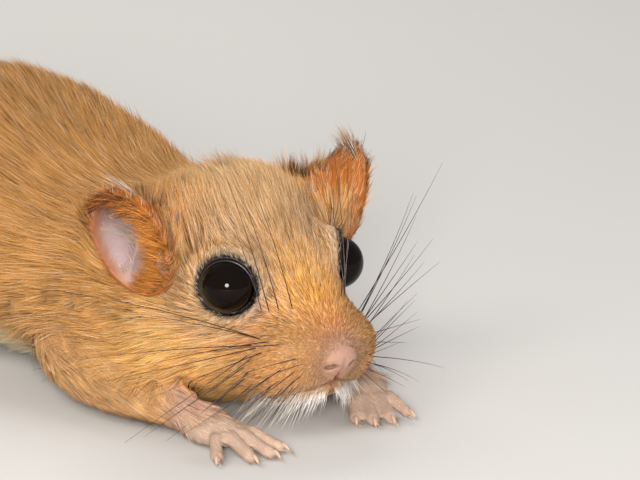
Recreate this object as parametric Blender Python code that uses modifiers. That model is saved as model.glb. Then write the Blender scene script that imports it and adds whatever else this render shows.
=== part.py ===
"""A hazel dormouse, life size, crouched on its belly and looking out over its forepaws.

Metres, +Z up. The nose points along -Y, the animal's left is +X and the floor is z = 0.
The origin is on the floor, on the flat of fur under the chest. The solids give the outline of
the coat, so a skin inside them is smaller by the depth of the fur. Sizes here are millimetres,
and MM turns them into metres when a mesh is made.
"""

import math
import random
from collections import namedtuple

import bmesh
import bpy
import numpy as np
from mathutils import Matrix, Vector

MM = 0.001
GAP = 0.3  # left between neighbours that touch
SEED = 7

# Driving dimensions
NOSE_Y = -38.0  # the nose tip lies this far in front of the origin
NOSE_HEIGHT = 7.0
HEAD_PITCH = math.radians(13)  # the nose points this far below the horizon
EYE_RADIUS = 2.15
EYE_PLACE = (5.65, 8.6, 3.35)  # side, back and up from the nose tip, in the head's own frame
EYE_AXIS = (0.86, -0.49, 0.12)  # the way the left eye looks, in that frame
# The mound of skin that carries the lids: how far in front of the eye's centre, and its radius
ORBIT = ((-2.8, 3.3), (-1.6, 3.5), (-0.8, 3.25), (-0.2, 2.9), (0.3, 2.6))
TEAR_CORNER = 0.7  # how far the lids are drawn out towards the nose
TEAR_AIM = (0.0, 2.5, 0.0)  # the place on the nose that their corners point at
EAR_PLACE = (11.0, 14.9, 5.0)
EAR_RADII = (4.0, 2.5, 4.9)  # across, deep, tall
EAR_UP = (0.30, 0.22, 0.93)
EAR_FACE = (0.97, -0.24, 0.08)
EAR_THICKNESS = 0.6
TAIL_LENGTH = 64.0
TAIL_CORE = 0.56  # of the coat's reach

BODY_FACETS = 36
LID_FACETS = 28
DIGIT_FACETS = 6
EAR_FACETS = (20, 12)  # round the ear's rim, and from rim to rim
RINGS_PER_STATION = (3, 2)  # on the head, and behind the neck

Station = namedtuple("Station", "behind height tilt half_width above below square")

# The trunk and head as one tube: each ring is centred this far behind the nose tip and above the
# floor, leans by its tilt in degrees, and reaches half_width to the sides. Its lower half is an
# ellipse where square is 2, and boxier above that
STATIONS = (
    Station(0.00, 7.0, 13, 0.0, 0.0, 0.0, 2.0),  # nose tip
    Station(0.25, 7.0, 13, 1.7, 0.8, 2.2, 2.0),
    Station(0.80, 7.1, 13, 3.1, 1.3, 3.4, 2.1),  # front of the lips
    Station(1.70, 7.3, 13, 4.3, 2.0, 4.3, 2.2),  # upper lip
    Station(3.20, 7.7, 13, 5.4, 3.0, 5.5, 2.3),  # whisker pads
    Station(5.50, 8.3, 13, 6.1, 4.6, 6.7, 2.4),  # bridge
    Station(8.50, 9.0, 13, 7.0, 6.8, 8.1, 2.6),  # eyes
    Station(11.0, 9.5, 13, 8.4, 8.6, 8.9, 2.8),  # brow
    Station(14.0, 10.1, 13, 9.8, 9.9, 9.6, 2.9),  # cheeks
    Station(17.0, 10.6, 12, 10.4, 10.0, 10.1, 2.8),  # crown
    Station(20.0, 10.6, 10, 10.5, 8.7, 10.2, 2.6),  # back of the skull
    Station(24.5, 9.9, 5, 11.0, 7.2, 9.9, 2.4),  # neck
    Station(31.0, 9.4, 2, 12.8, 7.9, 9.9, 2.3),  # shoulders
    Station(38.0, 9.8, 0, 14.6, 9.7, 10.6, 2.3),  # chest
    Station(46.0, 10.3, 0, 15.9, 11.3, 11.2, 2.3),  # loin
    Station(54.0, 10.5, 0, 16.2, 11.9, 11.2, 2.3),  # haunches
    Station(61.0, 10.1, 0, 14.2, 10.9, 10.6, 2.2),  # rump
    Station(66.5, 8.8, -6, 10.2, 7.8, 9.2, 2.1),
    Station(70.0, 7.2, -12, 5.8, 4.6, 6.2, 2.0),  # root of the tail
    Station(71.6, 6.4, -12, 0.0, 0.0, 0.0, 2.0),
)
NECK = 24.5
# The planes that part the tube, by where they cross its axis: name of what lies in front of each
PARTINGS = (("head", 20.0), ("neck", 27.0), ("chest", 40.0), ("abdomen", 55.0), ("rump", None))

# A soft swelling of the head: place in the head's frame, reach and height
SWELLINGS = (
    ((4.3, 3.0, -1.9), 2.3, 1.0),  # whisker pads
    ((8.2, 11.5, -5.5), 4.6, 1.2),  # cheeks
)

FUR = ("fur_golden", (0.62, 0.33, 0.12), 0.8)
FUR_TAIL = ("fur_tail", (0.50, 0.27, 0.11), 0.8)
SKIN = ("skin_pink", (0.80, 0.48, 0.42), 0.55)
EYE = ("eye_black", (0.008, 0.006, 0.006), 0.05)


def monotone(xs, ys):
    """A smooth curve through the points that never overshoots between them."""
    xs = np.asarray(xs, float)
    ys = np.asarray(ys, float)
    step = np.diff(xs)
    slope = np.diff(ys) / step
    tangent = np.concatenate([[slope[0]], np.zeros(len(xs) - 2), [slope[-1]]])
    for i in range(1, len(xs) - 1):
        if slope[i - 1] * slope[i] > 0:
            before, after = 2 * step[i] + step[i - 1], step[i] + 2 * step[i - 1]
            tangent[i] = (before + after) / (before / slope[i - 1] + after / slope[i])

    def value(x):
        i = min(max(int(np.searchsorted(xs, x)) - 1, 0), len(step) - 1)
        t = (x - xs[i]) / step[i]
        rise = t * t * (3 - 2 * t)
        lean = step[i] * (tangent[i] * t * (1 - t) ** 2 + tangent[i + 1] * t * t * (t - 1))
        return float(ys[i] + (ys[i + 1] - ys[i]) * rise + lean)

    return value


def along_path(points, count):
    """count points, evenly spaced in the path's own parameter, on a smooth curve through points."""
    points = [Vector(p) for p in points]
    run = [0.0]
    for a, b in zip(points, points[1:]):
        run.append(run[-1] + (b.xyz - a.xyz).length)
    curves = [monotone(run, [p[k] for p in points]) for k in range(len(points[0]))]
    return [Vector([c(run[-1] * i / (count - 1)) for c in curves]) for i in range(count)]


def in_head(side, back, up):
    """A place in the world, in millimetres, from its place in the head's own frame."""
    sine, cosine = math.sin(HEAD_PITCH), math.cos(HEAD_PITCH)
    return Vector((side, NOSE_Y + back * cosine - up * sine, NOSE_HEIGHT + back * sine + up * cosine))


def head_direction(side, back, up):
    return (in_head(side, back, up) - in_head(0, 0, 0)).normalized()


def mesh_object(name, mesh):
    obj = bpy.data.objects.new(name, mesh)
    bpy.context.scene.collection.objects.link(obj)
    return obj


def object_from(name, bm):
    """The bmesh, which is in millimetres, as an object in metres."""
    bmesh.ops.scale(bm, vec=(MM, MM, MM), verts=bm.verts)
    bmesh.ops.recalc_face_normals(bm, faces=bm.faces)
    mesh = bpy.data.meshes.new(name)
    bm.to_mesh(mesh)
    bm.free()
    return mesh_object(name, mesh)


def loft(name, rings):
    """A closed surface over rings of equal count. A ring of one point closes an end."""
    bm = bmesh.new()
    rows = [[bm.verts.new(p) for p in ring] for ring in rings]
    for row, following in zip(rows, rows[1:]):
        around = max(len(row), len(following))
        for k in range(around):
            corners = [row[k % len(row)], following[k % len(following)]]
            corners += [following[(k + 1) % len(following)], row[(k + 1) % len(row)]]
            bm.faces.new(list(dict.fromkeys(corners)))
    for row in (rows[0], rows[-1]):
        if len(row) > 1:
            bm.faces.new(row)
    return object_from(name, bm)


def applied(obj):
    """obj with its modifiers applied."""
    graph = bpy.context.evaluated_depsgraph_get()
    mesh = bpy.data.meshes.new_from_object(obj.evaluated_get(graph))
    obj.modifiers.clear()
    obj.data = mesh
    return obj


def as_mesh(curve_object):
    """A curve object turned into a closed mesh, its caps welded to its sides."""
    graph = bpy.context.evaluated_depsgraph_get()
    mesh = bpy.data.meshes.new_from_object(curve_object.evaluated_get(graph))
    bm = bmesh.new()
    bm.from_mesh(mesh)
    bmesh.ops.remove_doubles(bm, verts=bm.verts, dist=0.00001)
    bmesh.ops.recalc_face_normals(bm, faces=bm.faces)
    bm.to_mesh(mesh)
    bm.free()
    solid = mesh_object(curve_object.name + "_solid", mesh)
    solid.matrix_world = curve_object.matrix_world
    bpy.data.objects.remove(curve_object)
    return solid


def tube(name, points, radii, sides=8):
    """A closed tube through the points, with a radius at each, all in millimetres."""
    curve = bpy.data.curves.new(name, "CURVE")
    curve.dimensions = "3D"
    curve.bevel_depth = MM
    curve.bevel_resolution = sides // 2 - 2
    curve.use_fill_caps = True
    spline = curve.splines.new("POLY")
    spline.points.add(len(points) - 1)
    for place, point, radius in zip(spline.points, points, radii):
        place.co = (*(Vector(point) * MM), 1.0)
        place.radius = radius
    return as_mesh(mesh_object(name, curve))


def ellipsoid(name, centre, radii, turn=None, segments=20, rings=14):
    """A closed ellipsoid, turned by a rotation matrix about its own centre."""
    bm = bmesh.new()
    bmesh.ops.create_uvsphere(bm, u_segments=segments, v_segments=rings, radius=1.0)
    shape = Matrix.Diagonal((*radii, 1.0))
    place = Matrix.Translation(Vector(centre))
    bmesh.ops.transform(bm, matrix=place @ (turn or Matrix.Identity(4)) @ shape, verts=bm.verts)
    return object_from(name, bm)


def combine(obj, others, operation, solver="EXACT"):
    """One Boolean of obj with a collection of closed objects, which are then removed."""
    group = bpy.data.collections.new(obj.name + "_tools")
    bpy.context.scene.collection.children.link(group)
    for other in others:
        bpy.context.scene.collection.objects.unlink(other)
        group.objects.link(other)
    boolean = obj.modifiers.new(operation.lower(), "BOOLEAN")
    boolean.operation = operation
    boolean.operand_type = "COLLECTION"
    boolean.collection = group
    boolean.solver = solver
    applied(obj)
    for other in list(group.objects):
        bpy.data.objects.remove(other)
    bpy.data.collections.remove(group)
    return obj


def copy_of(obj, name):
    return mesh_object(name, obj.data.copy())


def keep_largest(obj):
    """Keeps only the closed surface that reaches furthest, and drops any loose scrap."""
    bm = bmesh.new()
    bm.from_mesh(obj.data)
    left = set(bm.verts)
    islands = []
    while left:
        island, edge_of_search = set(), [left.pop()]
        while edge_of_search:
            vert = edge_of_search.pop()
            island.add(vert)
            for edge in vert.link_edges:
                other = edge.other_vert(vert)
                if other in left:
                    left.remove(other)
                    edge_of_search.append(other)
        islands.append(island)
    islands.sort(key=len)
    scraps = [v for island in islands[:-1] for v in island]
    bmesh.ops.delete(bm, geom=scraps, context="VERTS")
    bm.to_mesh(obj.data)
    bm.free()
    return obj


def set_on_floor(obj, level=0.0):
    """Presses what would lie under the floor into a flat on it."""
    for vertex in obj.data.vertices:
        vertex.co.z = max(vertex.co.z, level * MM)
    return obj


def finish(obj, name, material):
    """Names a node, gives it its material and shades it smooth."""
    label, colour, roughness = material
    shared = bpy.data.materials.get(label) or bpy.data.materials.new(label)
    shared.use_nodes = True
    shader = shared.node_tree.nodes["Principled BSDF"]
    shader.inputs["Base Color"].default_value = (*colour, 1.0)
    shader.inputs["Roughness"].default_value = roughness
    shader.inputs["Metallic"].default_value = 0.0
    obj.name = name
    obj.data.name = name
    obj.data.materials.clear()
    obj.data.materials.append(shared)
    obj.data.shade_smooth()
    obj.data.set_sharp_from_angle(angle=math.radians(50))
    return obj


def swelling_at(place):
    """How far the head's surface stands out at a place, from its named swellings."""
    out = 0.0
    for (side, back, up), reach, height in SWELLINGS:
        away = place - in_head(math.copysign(side, place.x), back, up)
        out += height * math.exp(-away.length_squared / reach**2)
    return out


def body_tube(name, grow=0.0):
    """The head and trunk as one closed tube, standing out by grow millimetres all over."""
    columns = list(zip(*STATIONS))
    centre_z, tilt, half_width, above, below, square = [monotone(columns[0], c) for c in columns[1:]]
    places = []
    for a, b in zip(STATIONS, STATIONS[1:]):
        count = RINGS_PER_STATION[a.behind >= NECK]
        places += [a.behind + (b.behind - a.behind) * k / count for k in range(count)]
    first, last = places[0], STATIONS[-1].behind
    rings = [[Vector((0, NOSE_Y + first - grow, centre_z(first)))]]
    for behind in places[1:]:
        lean = math.radians(tilt(behind))
        up = Vector((0, -math.sin(lean), math.cos(lean)))
        centre = Vector((0, NOSE_Y + behind, centre_z(behind)))
        ring = []
        for k in range(BODY_FACETS):
            angle = 2 * math.pi * k / BODY_FACETS
            upper = math.sin(angle) > 0
            reach = above(behind) if upper else below(behind)
            bend = 2.0 / (2.15 if upper else square(behind))
            side = half_width(behind) * math.copysign(abs(math.cos(angle)) ** bend, math.cos(angle))
            rise = reach * math.copysign(abs(math.sin(angle)) ** bend, math.sin(angle))
            point = centre + Vector((side, 0, 0)) + up * rise
            outward = (point - centre).normalized()
            ring.append(point + outward * (swelling_at(point) + grow))
        rings.append(ring)
    rings.append([Vector((0, NOSE_Y + last + grow, centre_z(last)))])
    return set_on_floor(loft(name, rings), level=-grow)


def parting_box(name, front, back):
    """A box that holds the part of the tube between two planes, each half a gap short."""
    size = 60.0
    corners = []
    for behind, inset in ((front, GAP / 2), (back, -GAP / 2)):
        centre_z = monotone(*list(zip(*STATIONS))[:2])
        tilt = monotone([s.behind for s in STATIONS], [s.tilt for s in STATIONS])
        lean = math.radians(tilt(min(max(behind, 0.0), STATIONS[-1].behind)))
        up = Vector((0, -math.sin(lean), math.cos(lean)))
        middle = Vector((0, NOSE_Y + behind + inset, centre_z(min(max(behind, 0.0), STATIONS[-1].behind))))
        side = Vector((size / 2, 0, 0))
        corners.append([middle + side + up * size, middle - side + up * size])
        corners[-1] += [middle - side - up * size, middle + side - up * size]
    return loft(name, corners)


def eye_centre(side):
    return in_head(side * EYE_PLACE[0], EYE_PLACE[1], EYE_PLACE[2])


def eye_direction(side):
    return head_direction(side * EYE_AXIS[0], EYE_AXIS[1], EYE_AXIS[2])


def eye(side):
    turn = eye_direction(side).to_track_quat("Z", "Y").to_matrix().to_4x4()
    return ellipsoid("eye", eye_centre(side), (EYE_RADIUS,) * 3, turn, 22, 12)


def eye_socket(side):
    turn = eye_direction(side).to_track_quat("Z", "Y").to_matrix().to_4x4()
    return ellipsoid("socket", eye_centre(side), (EYE_RADIUS + GAP,) * 3, turn, 22, 12)


def lids(side):
    """The mound round the eye with the lids at its rim, drawn out to a corner towards the nose."""
    look = eye_direction(side)
    turn = look.to_track_quat("Z", "Y").to_matrix()
    to_nose = (in_head(*TEAR_AIM) - eye_centre(side)).normalized()
    rings = []
    for ahead, radius in ORBIT:
        ring = []
        for k in range(LID_FACETS):
            angle = 2 * math.pi * k / LID_FACETS
            out = turn @ Vector((math.cos(angle), math.sin(angle), 0))
            drawn = TEAR_CORNER * max(0.0, out.dot(to_nose)) ** 8
            ring.append(eye_centre(side) + look * (ahead - 0.5 * drawn) + out * (radius + drawn))
        rings.append(ring)
    return loft("lids", rings)


NOSE_PAD = ((0.0, 0.95, -0.35), (1.75, 1.35, 1.3))  # place in the head's frame, radii
NOSTRIL = ((1.0, 0.05, -0.6), (0.42, 0.7, 0.26))
NOSTRIL_SLANT = math.radians(35)


def nose_pad():
    return ellipsoid("nose", in_head(*NOSE_PAD[0]), NOSE_PAD[1], None, 20, 12)


def nostril(side):
    """A slit, wider towards the outside."""
    turn = Matrix.Rotation(side * NOSTRIL_SLANT, 4, "Y")
    across, behind, up = NOSTRIL[0]
    return ellipsoid("nostril", in_head(side * across, behind, up), NOSTRIL[1], turn, 12, 8)


MOUTH = ((0.0, 0.4, -2.6), (1.7, 1.0, -3.3), (3.6, 2.9, -4.1), (4.8, 5.6, -4.4))  # to the left corner
PHILTRUM = ((-0.3, -0.9, 0.16), (-0.05, -1.7, 0.28), (0.35, -2.6, 0.36))  # back, up and radius


def mouth_line():
    """The groove between the lips, from one corner of the mouth to the other, finest at its ends."""
    places = [(-side, back, up) for side, back, up in reversed(MOUTH[1:])] + list(MOUTH)
    middle = 9
    points = along_path([in_head(*place) for place in places], 2 * middle + 1)
    return tube("mouth", points, [0.4 - 0.2 * abs(k / middle - 1) ** 3 for k in range(len(points))], 6)


def philtrum():
    points = [in_head(0, back, up) for back, up, _ in PHILTRUM]
    return tube("philtrum", points, [radius for _, _, radius in PHILTRUM], 6)


def ear_turn(side):
    """The way an ear stands: across, up and out of the cup."""
    up = head_direction(side * EAR_UP[0], EAR_UP[1], EAR_UP[2])
    face = head_direction(side * EAR_FACE[0], EAR_FACE[1], EAR_FACE[2])
    across = up.cross(face).normalized()
    return Matrix((across, up, across.cross(up).normalized())).transposed().to_4x4()


def ear_centre(side):
    return in_head(side * EAR_PLACE[0], EAR_PLACE[1], EAR_PLACE[2])


def ear(side):
    """A round cup of thin skin that faces outwards and a little forwards."""
    bm = bmesh.new()
    bmesh.ops.create_uvsphere(bm, u_segments=EAR_FACETS[0], v_segments=EAR_FACETS[1], radius=1.0)
    open_side = [v for v in bm.verts if v.co.z > 0.1]
    bmesh.ops.delete(bm, geom=open_side, context="VERTS")
    across, deep, tall = EAR_RADII
    for v in bm.verts:
        v.co = Vector((v.co.x * across, v.co.y * tall, v.co.z * deep))
    bmesh.ops.transform(bm, matrix=Matrix.Translation(ear_centre(side)) @ ear_turn(side), verts=bm.verts)
    shell = object_from("ear_shell", bm)
    solidify = shell.modifiers.new("thickness", "SOLIDIFY")
    solidify.thickness = EAR_THICKNESS * MM
    solidify.offset = -1.0
    return applied(shell)


def ear_pocket(side):
    """The hollow in the head that the cup sits in."""
    across, deep, tall = [r + EAR_THICKNESS + GAP for r in EAR_RADII]
    return ellipsoid("pocket", ear_centre(side), (across, tall, deep), ear_turn(side), *EAR_FACETS)


# Each wrist by side: across, behind the nose tip, the way the hand points from it, and how far
# its fingers spread
WRIST = {-1: (-8.6, 7.8, math.radians(-3), 1.0), 1: (8.2, 8.2, math.radians(-26), 0.6)}
Digit = namedtuple("Digit", "across turn length radius")
FINGERS = (
    Digit(-1.35, -14, 4.0, 0.66),
    Digit(-0.45, -3, 4.7, 0.70),
    Digit(0.55, 9, 4.5, 0.70),
    Digit(1.35, 40, 3.5, 0.64),
)


# From inside the shoulder to the lower forearm: across, behind the nose tip, height and radius
FORELEG = ((5.8, 30.0, 8.0, 2.8), (8.6, 26.0, 5.6, 3.4), (10.8, 20.5, 3.6, 3.1), (10.6, 16.0, 2.8, 2.6))
FOREARM_END = 10.0  # across, where the forearm starts to turn to the wrist


def foreleg(side, grow=0.0):
    """The upper arm and forearm, from inside the shoulder to the wrist."""
    across, behind = WRIST[side][:2]
    joints = [(side * out, back, height, radius) for out, back, height, radius in FORELEG]
    joints += [
        ((side * FOREARM_END + across) / 2, behind + 4.0, 2.3, 2.15),
        (across, behind + 0.8, 2.0, 1.7),
        (across, behind - 1.2, 1.7, 1.4),
    ]
    path = along_path([(x, NOSE_Y + back, z, r) for x, back, z, r in joints], 13)
    return tube("foreleg", [p.xyz for p in path], [p.w + grow for p in path], 12)


TOES = (
    Digit(-1.5, -20, 3.0, 0.62),
    Digit(-0.8, -8, 4.2, 0.70),
    Digit(0.1, 1, 4.6, 0.72),
    Digit(0.9, 10, 4.3, 0.70),
    Digit(1.6, 26, 3.2, 0.64),
)


# Along a digit: share of its length, height and share of its radius
KNUCKLES = ((-0.25, 1.25, 1.0), (0.25, 1.35, 1.05), (0.62, 0.9, 0.92), (0.88, 0.62, 0.98), (1.0, 0.5, 0.55))
CLAW = ((-0.5, 0.85, 0.3), (0.35, 0.75, 0.26), (0.95, 0.3, 0.08))  # ahead of the tip, height and radius


def digit(root, heading, length, radius, grow=0.0):
    """One toe that arches over its knuckle down to a soft tip, with a short claw."""
    forward = Vector((math.sin(heading), -math.cos(heading), 0))
    points = [root + forward * length * share + Vector((0, 0, height)) for share, height, _ in KNUCKLES]
    toe = tube("toe", points, [radius * width + grow for _, _, width in KNUCKLES], DIGIT_FACETS)
    hook = [root + forward * (length + run) + Vector((0, 0, height)) for run, height, _ in CLAW]
    return [toe, tube("claw", hook, [r + grow for _, _, r in CLAW], DIGIT_FACETS)]


def forepaw(side):
    """The hand: a flat palm with four fingers, set on the floor."""
    across, behind, heading, spread = WRIST[side]
    heading *= side
    forward = Vector((math.sin(heading), -math.cos(heading), 0))
    right = Vector((-forward.y, forward.x, 0))
    start = Vector((across, NOSE_Y + behind, 0))
    turn = Matrix.Rotation(heading, 4, "Z")
    middle = start + forward * 1.9 + Vector((0, 0, 1.25))
    pieces = [ellipsoid("palm", middle, (2.1, 3.2, 1.35), turn, 16, 10)]
    for finger in FINGERS:
        root = start + forward * 3.8 + right * side * finger.across
        turned = heading + side * spread * math.radians(finger.turn)
        pieces += digit(root, turned, finger.length, finger.radius)
    return set_on_floor(combine(pieces[0], pieces[1:], "UNION"))


HEEL = (13.2, 58.0)  # across and behind the nose tip
HINDFOOT_HEADING = math.radians(9)
BALL = 12.0  # of the foot, in front of the heel
# In front of the heel, height and radius
SOLE = ((0.0, 1.4, 0.6), (0.6, 1.4, 1.35), (2.4, 1.4, 1.7), (6.0, 1.3, 1.7))
SOLE += ((BALL - 2, 1.2, 1.9), (BALL, 1.1, 1.7), (BALL + 0.9, 1.0, 0.8))


def hindfoot(side, grow=0.0):
    """The long sole under the haunch with five toes."""
    heading = side * HINDFOOT_HEADING
    forward = Vector((math.sin(heading), -math.cos(heading), 0))
    right = Vector((-forward.y, forward.x, 0))
    heel = Vector((side * HEEL[0], NOSE_Y + HEEL[1], 0))
    points = [heel + forward * run + Vector((0, 0, height)) for run, height, _ in SOLE]
    pieces = [tube("sole", points, [r + grow for _, _, r in SOLE], 10)]
    for toe in TOES:
        root = heel + forward * (BALL - 0.3) + right * side * toe.across
        pieces += digit(root, heading + side * math.radians(toe.turn), toe.length, toe.radius, grow)
    return set_on_floor(combine(pieces[0], pieces[1:], "UNION"), level=-grow)


THIGH_PLACE = (11.4, 53.5, 8.4)
THIGH_RADII = (6.2, 10.8, 8.0)
THIGH_LEAN = math.radians(18)


def thigh(side, grow=0.0):
    """The rounded haunch with the knee forward and low."""
    turn = Matrix.Rotation(THIGH_LEAN, 4, "X") @ Matrix.Rotation(side * math.radians(-6), 4, "Z")
    centre = (side * THIGH_PLACE[0], NOSE_Y + THIGH_PLACE[1], THIGH_PLACE[2])
    radii = [r + grow for r in THIGH_RADII]
    return set_on_floor(ellipsoid("thigh", centre, radii, turn, 22, 14), level=-grow)


TAIL_ROOT = (0.0, 68.0, 5.6)  # across, behind the nose tip, height
TAIL_SWING = math.radians(96)  # how far the tail's heading turns towards the animal's left
COAT_REACH = ((0.0, 3.3), (0.12, 4.2), (0.35, 5.0), (0.6, 5.3), (0.82, 5.0), (1.0, 3.0))
TAIL_PARTINGS = (("tail_base", 0.0, 0.33), ("tail_middle", 0.33, 0.67), ("tail_tip", 0.67, 1.0))
LOCKS = 46
LOCK_TURN = 137.5  # from one lock to the next, round the tail's upper side
LOCK_LENGTH = 11.0
# A lock's rings: share of its length, height over the core as a share of the reach, half width
# and half thickness
LOCK_RINGS = ((0.0, 0.30, 1.3, 0.6), (0.32, 0.74, 2.2, 0.6), (0.7, 0.97, 1.5, 0.42))


def tail_place(share):
    """The tail's centre line: its place, its heading and the reach of its coat at a share of its length."""
    steps = 60
    place = Vector((TAIL_ROOT[0], NOSE_Y + TAIL_ROOT[1], 0.0))
    swing = monotone([0.0, 0.15, 0.75, 1.0], [0.0, 0.05, 0.9, 1.0])
    heading = 0.0
    for k in range(round(steps * share)):
        heading = TAIL_SWING * swing((k + 0.5) / steps)
        place += Vector((math.sin(heading), math.cos(heading), 0)) * TAIL_LENGTH / steps
    reach = monotone(*zip(*COAT_REACH))(share)
    lying = reach * TAIL_CORE - 0.15
    settle = monotone([0.0, 0.2, 1.0], [1.0, 0.0, 0.0])(share)
    place.z = lying + (TAIL_ROOT[2] - lying) * settle
    return place, heading, reach


def tail_core(name, share_of_reach):
    """The tail as one tapering tube, out to this share of its coat's reach."""
    count = 24
    places = [tail_place(k / count) for k in range(count + 1)]
    radii = [reach * share_of_reach for _, _, reach in places]
    radii[-1] *= 0.5
    return set_on_floor(tube(name, [p for p, _, _ in places], radii, 12))


def lock(share, angle, size):
    """A flat tapered lock of the tail's coat, rooted in the core and bending back along it."""
    rings = []
    for run, lift, width, thick in LOCK_RINGS + ((1.0, 1.03, 0.0, 0.0),):
        place, heading, reach = tail_place(min(1.0, share + run * size * LOCK_LENGTH / TAIL_LENGTH))
        along = Vector((math.sin(heading), math.cos(heading), 0))
        across = Vector((math.cos(heading), -math.sin(heading), 0))
        beyond = max(0.0, (share - 1.0) * TAIL_LENGTH + run * size * LOCK_LENGTH)
        out = across * math.cos(angle) + Vector((0, 0, 1)) * math.sin(angle)
        side = along.cross(out).normalized()
        middle = place + along * beyond * 0.6 + out * reach * lift
        ring = [middle + side * width, middle + out * thick, middle - side * width, middle - out * thick]
        for point in ring:
            point.z = max(point.z, 0.02 * run)
        rings.append(ring if width else ring[:1])
    return loft("lock", rings)


def tail():
    """The whole tail: its core with locks that overlap along it."""
    dice = random.Random(SEED)
    locks = []
    for k in range(LOCKS):
        share = 0.04 + 0.88 * (k + dice.uniform(-0.4, 0.4)) / LOCKS
        angle = math.radians(-35 + (k * LOCK_TURN + dice.uniform(-8, 8)) % 250)
        locks.append(lock(share, angle, dice.uniform(0.88, 1.1)))
    coat = combine(tail_core("tail", TAIL_CORE), locks, "UNION", "MANIFOLD")
    return combine(coat, [body_tube("shape", GAP)], "DIFFERENCE", "MANIFOLD")


def tail_box(name, start, end):
    """A box that holds the tail between two shares of its length, each half a gap short."""
    size = 14.0
    corners = []
    for share, inset, beyond in ((start, GAP / 2, start == 0.0), (end, -GAP / 2, end == 1.0)):
        place, heading, _ = tail_place(share)
        along = Vector((math.sin(heading), math.cos(heading), 0))
        across = Vector((math.cos(heading), -math.sin(heading), 0)) * size
        up = Vector((0, 0, size))
        middle = place + along * (inset + (size * math.copysign(1, -inset) if beyond else 0.0))
        corners.append([middle + across + up, middle - across + up])
        corners[-1] += [middle - across - up, middle + across - up]
    return loft(name, corners)


def build():
    for obj in list(bpy.data.objects):
        bpy.data.objects.remove(obj)
    body = body_tube("body")
    combine(body, [nose_pad()] + [lids(side) for side in (-1, 1)], "UNION")
    combine(body, [nostril(side) for side in (-1, 1)], "DIFFERENCE", "MANIFOLD")
    cutters = [philtrum(), mouth_line()]
    for side in (-1, 1):
        cutters += [eye_socket(side), ear_pocket(side)]
        cutters += [foreleg(side, GAP), thigh(side, GAP), hindfoot(side, GAP)]
    for cutter in cutters:
        combine(body, [cutter], "DIFFERENCE")
    front = -10.0
    for name, behind in PARTINGS:
        back = behind or STATIONS[-1].behind + 10.0
        node = combine(copy_of(body, name), [parting_box("box", front, back)], "INTERSECT")
        finish(keep_largest(node), name, FUR)
        front = back
    bpy.data.objects.remove(body)
    for side, word in ((-1, "right"), (1, "left")):
        finish(eye(side), "eye_" + word, EYE)
        finish(ear(side), "ear_" + word, FUR)
        hand = combine(forepaw(side), [foreleg(side, GAP)], "DIFFERENCE")
        haunch = combine(thigh(side), [hindfoot(side, GAP)], "DIFFERENCE")
        finish(set_on_floor(foreleg(side)), "foreleg_" + word, FUR)
        finish(keep_largest(hand), "forepaw_" + word, SKIN)
        finish(keep_largest(hindfoot(side)), "hindfoot_" + word, SKIN)
        finish(keep_largest(haunch), "thigh_" + word, FUR)
    whole = tail()
    for name, start, end in TAIL_PARTINGS:
        node = combine(copy_of(whole, name), [tail_box("box", start, end)], "INTERSECT", "MANIFOLD")
        finish(keep_largest(node), name, FUR_TAIL)
    bpy.data.objects.remove(whole)


build()
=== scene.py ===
"""The looks of the hazel dormouse: one skin, its coat of fur, eyes, whiskers and claws.

Lengths in the tables are millimetres and become metres when a mesh is made. The nose points
along -Y, the animal's left is +X and the floor is z = 0.
"""

import math
from collections import namedtuple

import bmesh
import bpy
import numpy as np
from mathutils import Matrix, Vector
from mathutils.bvhtree import BVHTree
from mathutils.kdtree import KDTree


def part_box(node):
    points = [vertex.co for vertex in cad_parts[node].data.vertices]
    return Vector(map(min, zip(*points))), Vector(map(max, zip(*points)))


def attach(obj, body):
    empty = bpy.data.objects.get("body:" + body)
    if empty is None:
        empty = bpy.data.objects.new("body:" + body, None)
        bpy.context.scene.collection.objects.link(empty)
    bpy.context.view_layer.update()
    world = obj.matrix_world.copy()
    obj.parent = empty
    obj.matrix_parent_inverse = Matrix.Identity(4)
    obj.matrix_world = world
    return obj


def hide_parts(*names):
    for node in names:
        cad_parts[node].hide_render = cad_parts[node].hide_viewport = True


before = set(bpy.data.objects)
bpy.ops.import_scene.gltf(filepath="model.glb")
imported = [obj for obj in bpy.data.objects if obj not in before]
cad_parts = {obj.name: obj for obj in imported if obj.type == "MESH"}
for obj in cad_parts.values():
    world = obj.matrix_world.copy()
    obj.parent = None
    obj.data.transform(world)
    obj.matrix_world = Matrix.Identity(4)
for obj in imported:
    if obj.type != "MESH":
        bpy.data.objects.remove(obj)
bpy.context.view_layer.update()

MM = 0.001
SEED = 11

# The head's own frame: side, back and up from the nose tip
NOSE = np.array((0.0, -38.0, 7.0))
HEAD_PITCH = math.radians(13)
EYE_RADIUS = 2.15
EYE_AXIS = (0.77, -0.62, 0.14)  # the way the opening of the lids faces
LID_AHEAD = 0.28  # of the eye's centre
LID_RADIUS = 2.14
TEAR_CORNER = 0.7

EAR_PLACE = (11.0, 14.9, 5.0)
EAR_WIDE, EAR_TALL = 4.0, 4.9  # half its width and height
EAR_UP = (0.30, 0.22, 0.93)
EAR_FACE = (0.97, -0.24, 0.08)

# The photograph's view
VIEW_HEADING = math.radians(39)
VIEW_DROP = math.radians(15)
VIEW_DISTANCE = 300.0
PIXELS_PER_MM = 12.6
NOSE_PIXEL = (343, 357)
IMAGE = (640, 480)

TRUNK = ("neck", "chest", "abdomen", "rump")
SIDES = {"right": -1, "left": 1}


def in_head(side, back, up):
    """Places in the world, in millimetres, from places in the head's own frame."""
    sine, cosine = math.sin(HEAD_PITCH), math.cos(HEAD_PITCH)
    side, back, up = np.broadcast_arrays(side, back, up)
    return NOSE + np.stack([side, back * cosine - up * sine, back * sine + up * cosine], -1)


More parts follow.
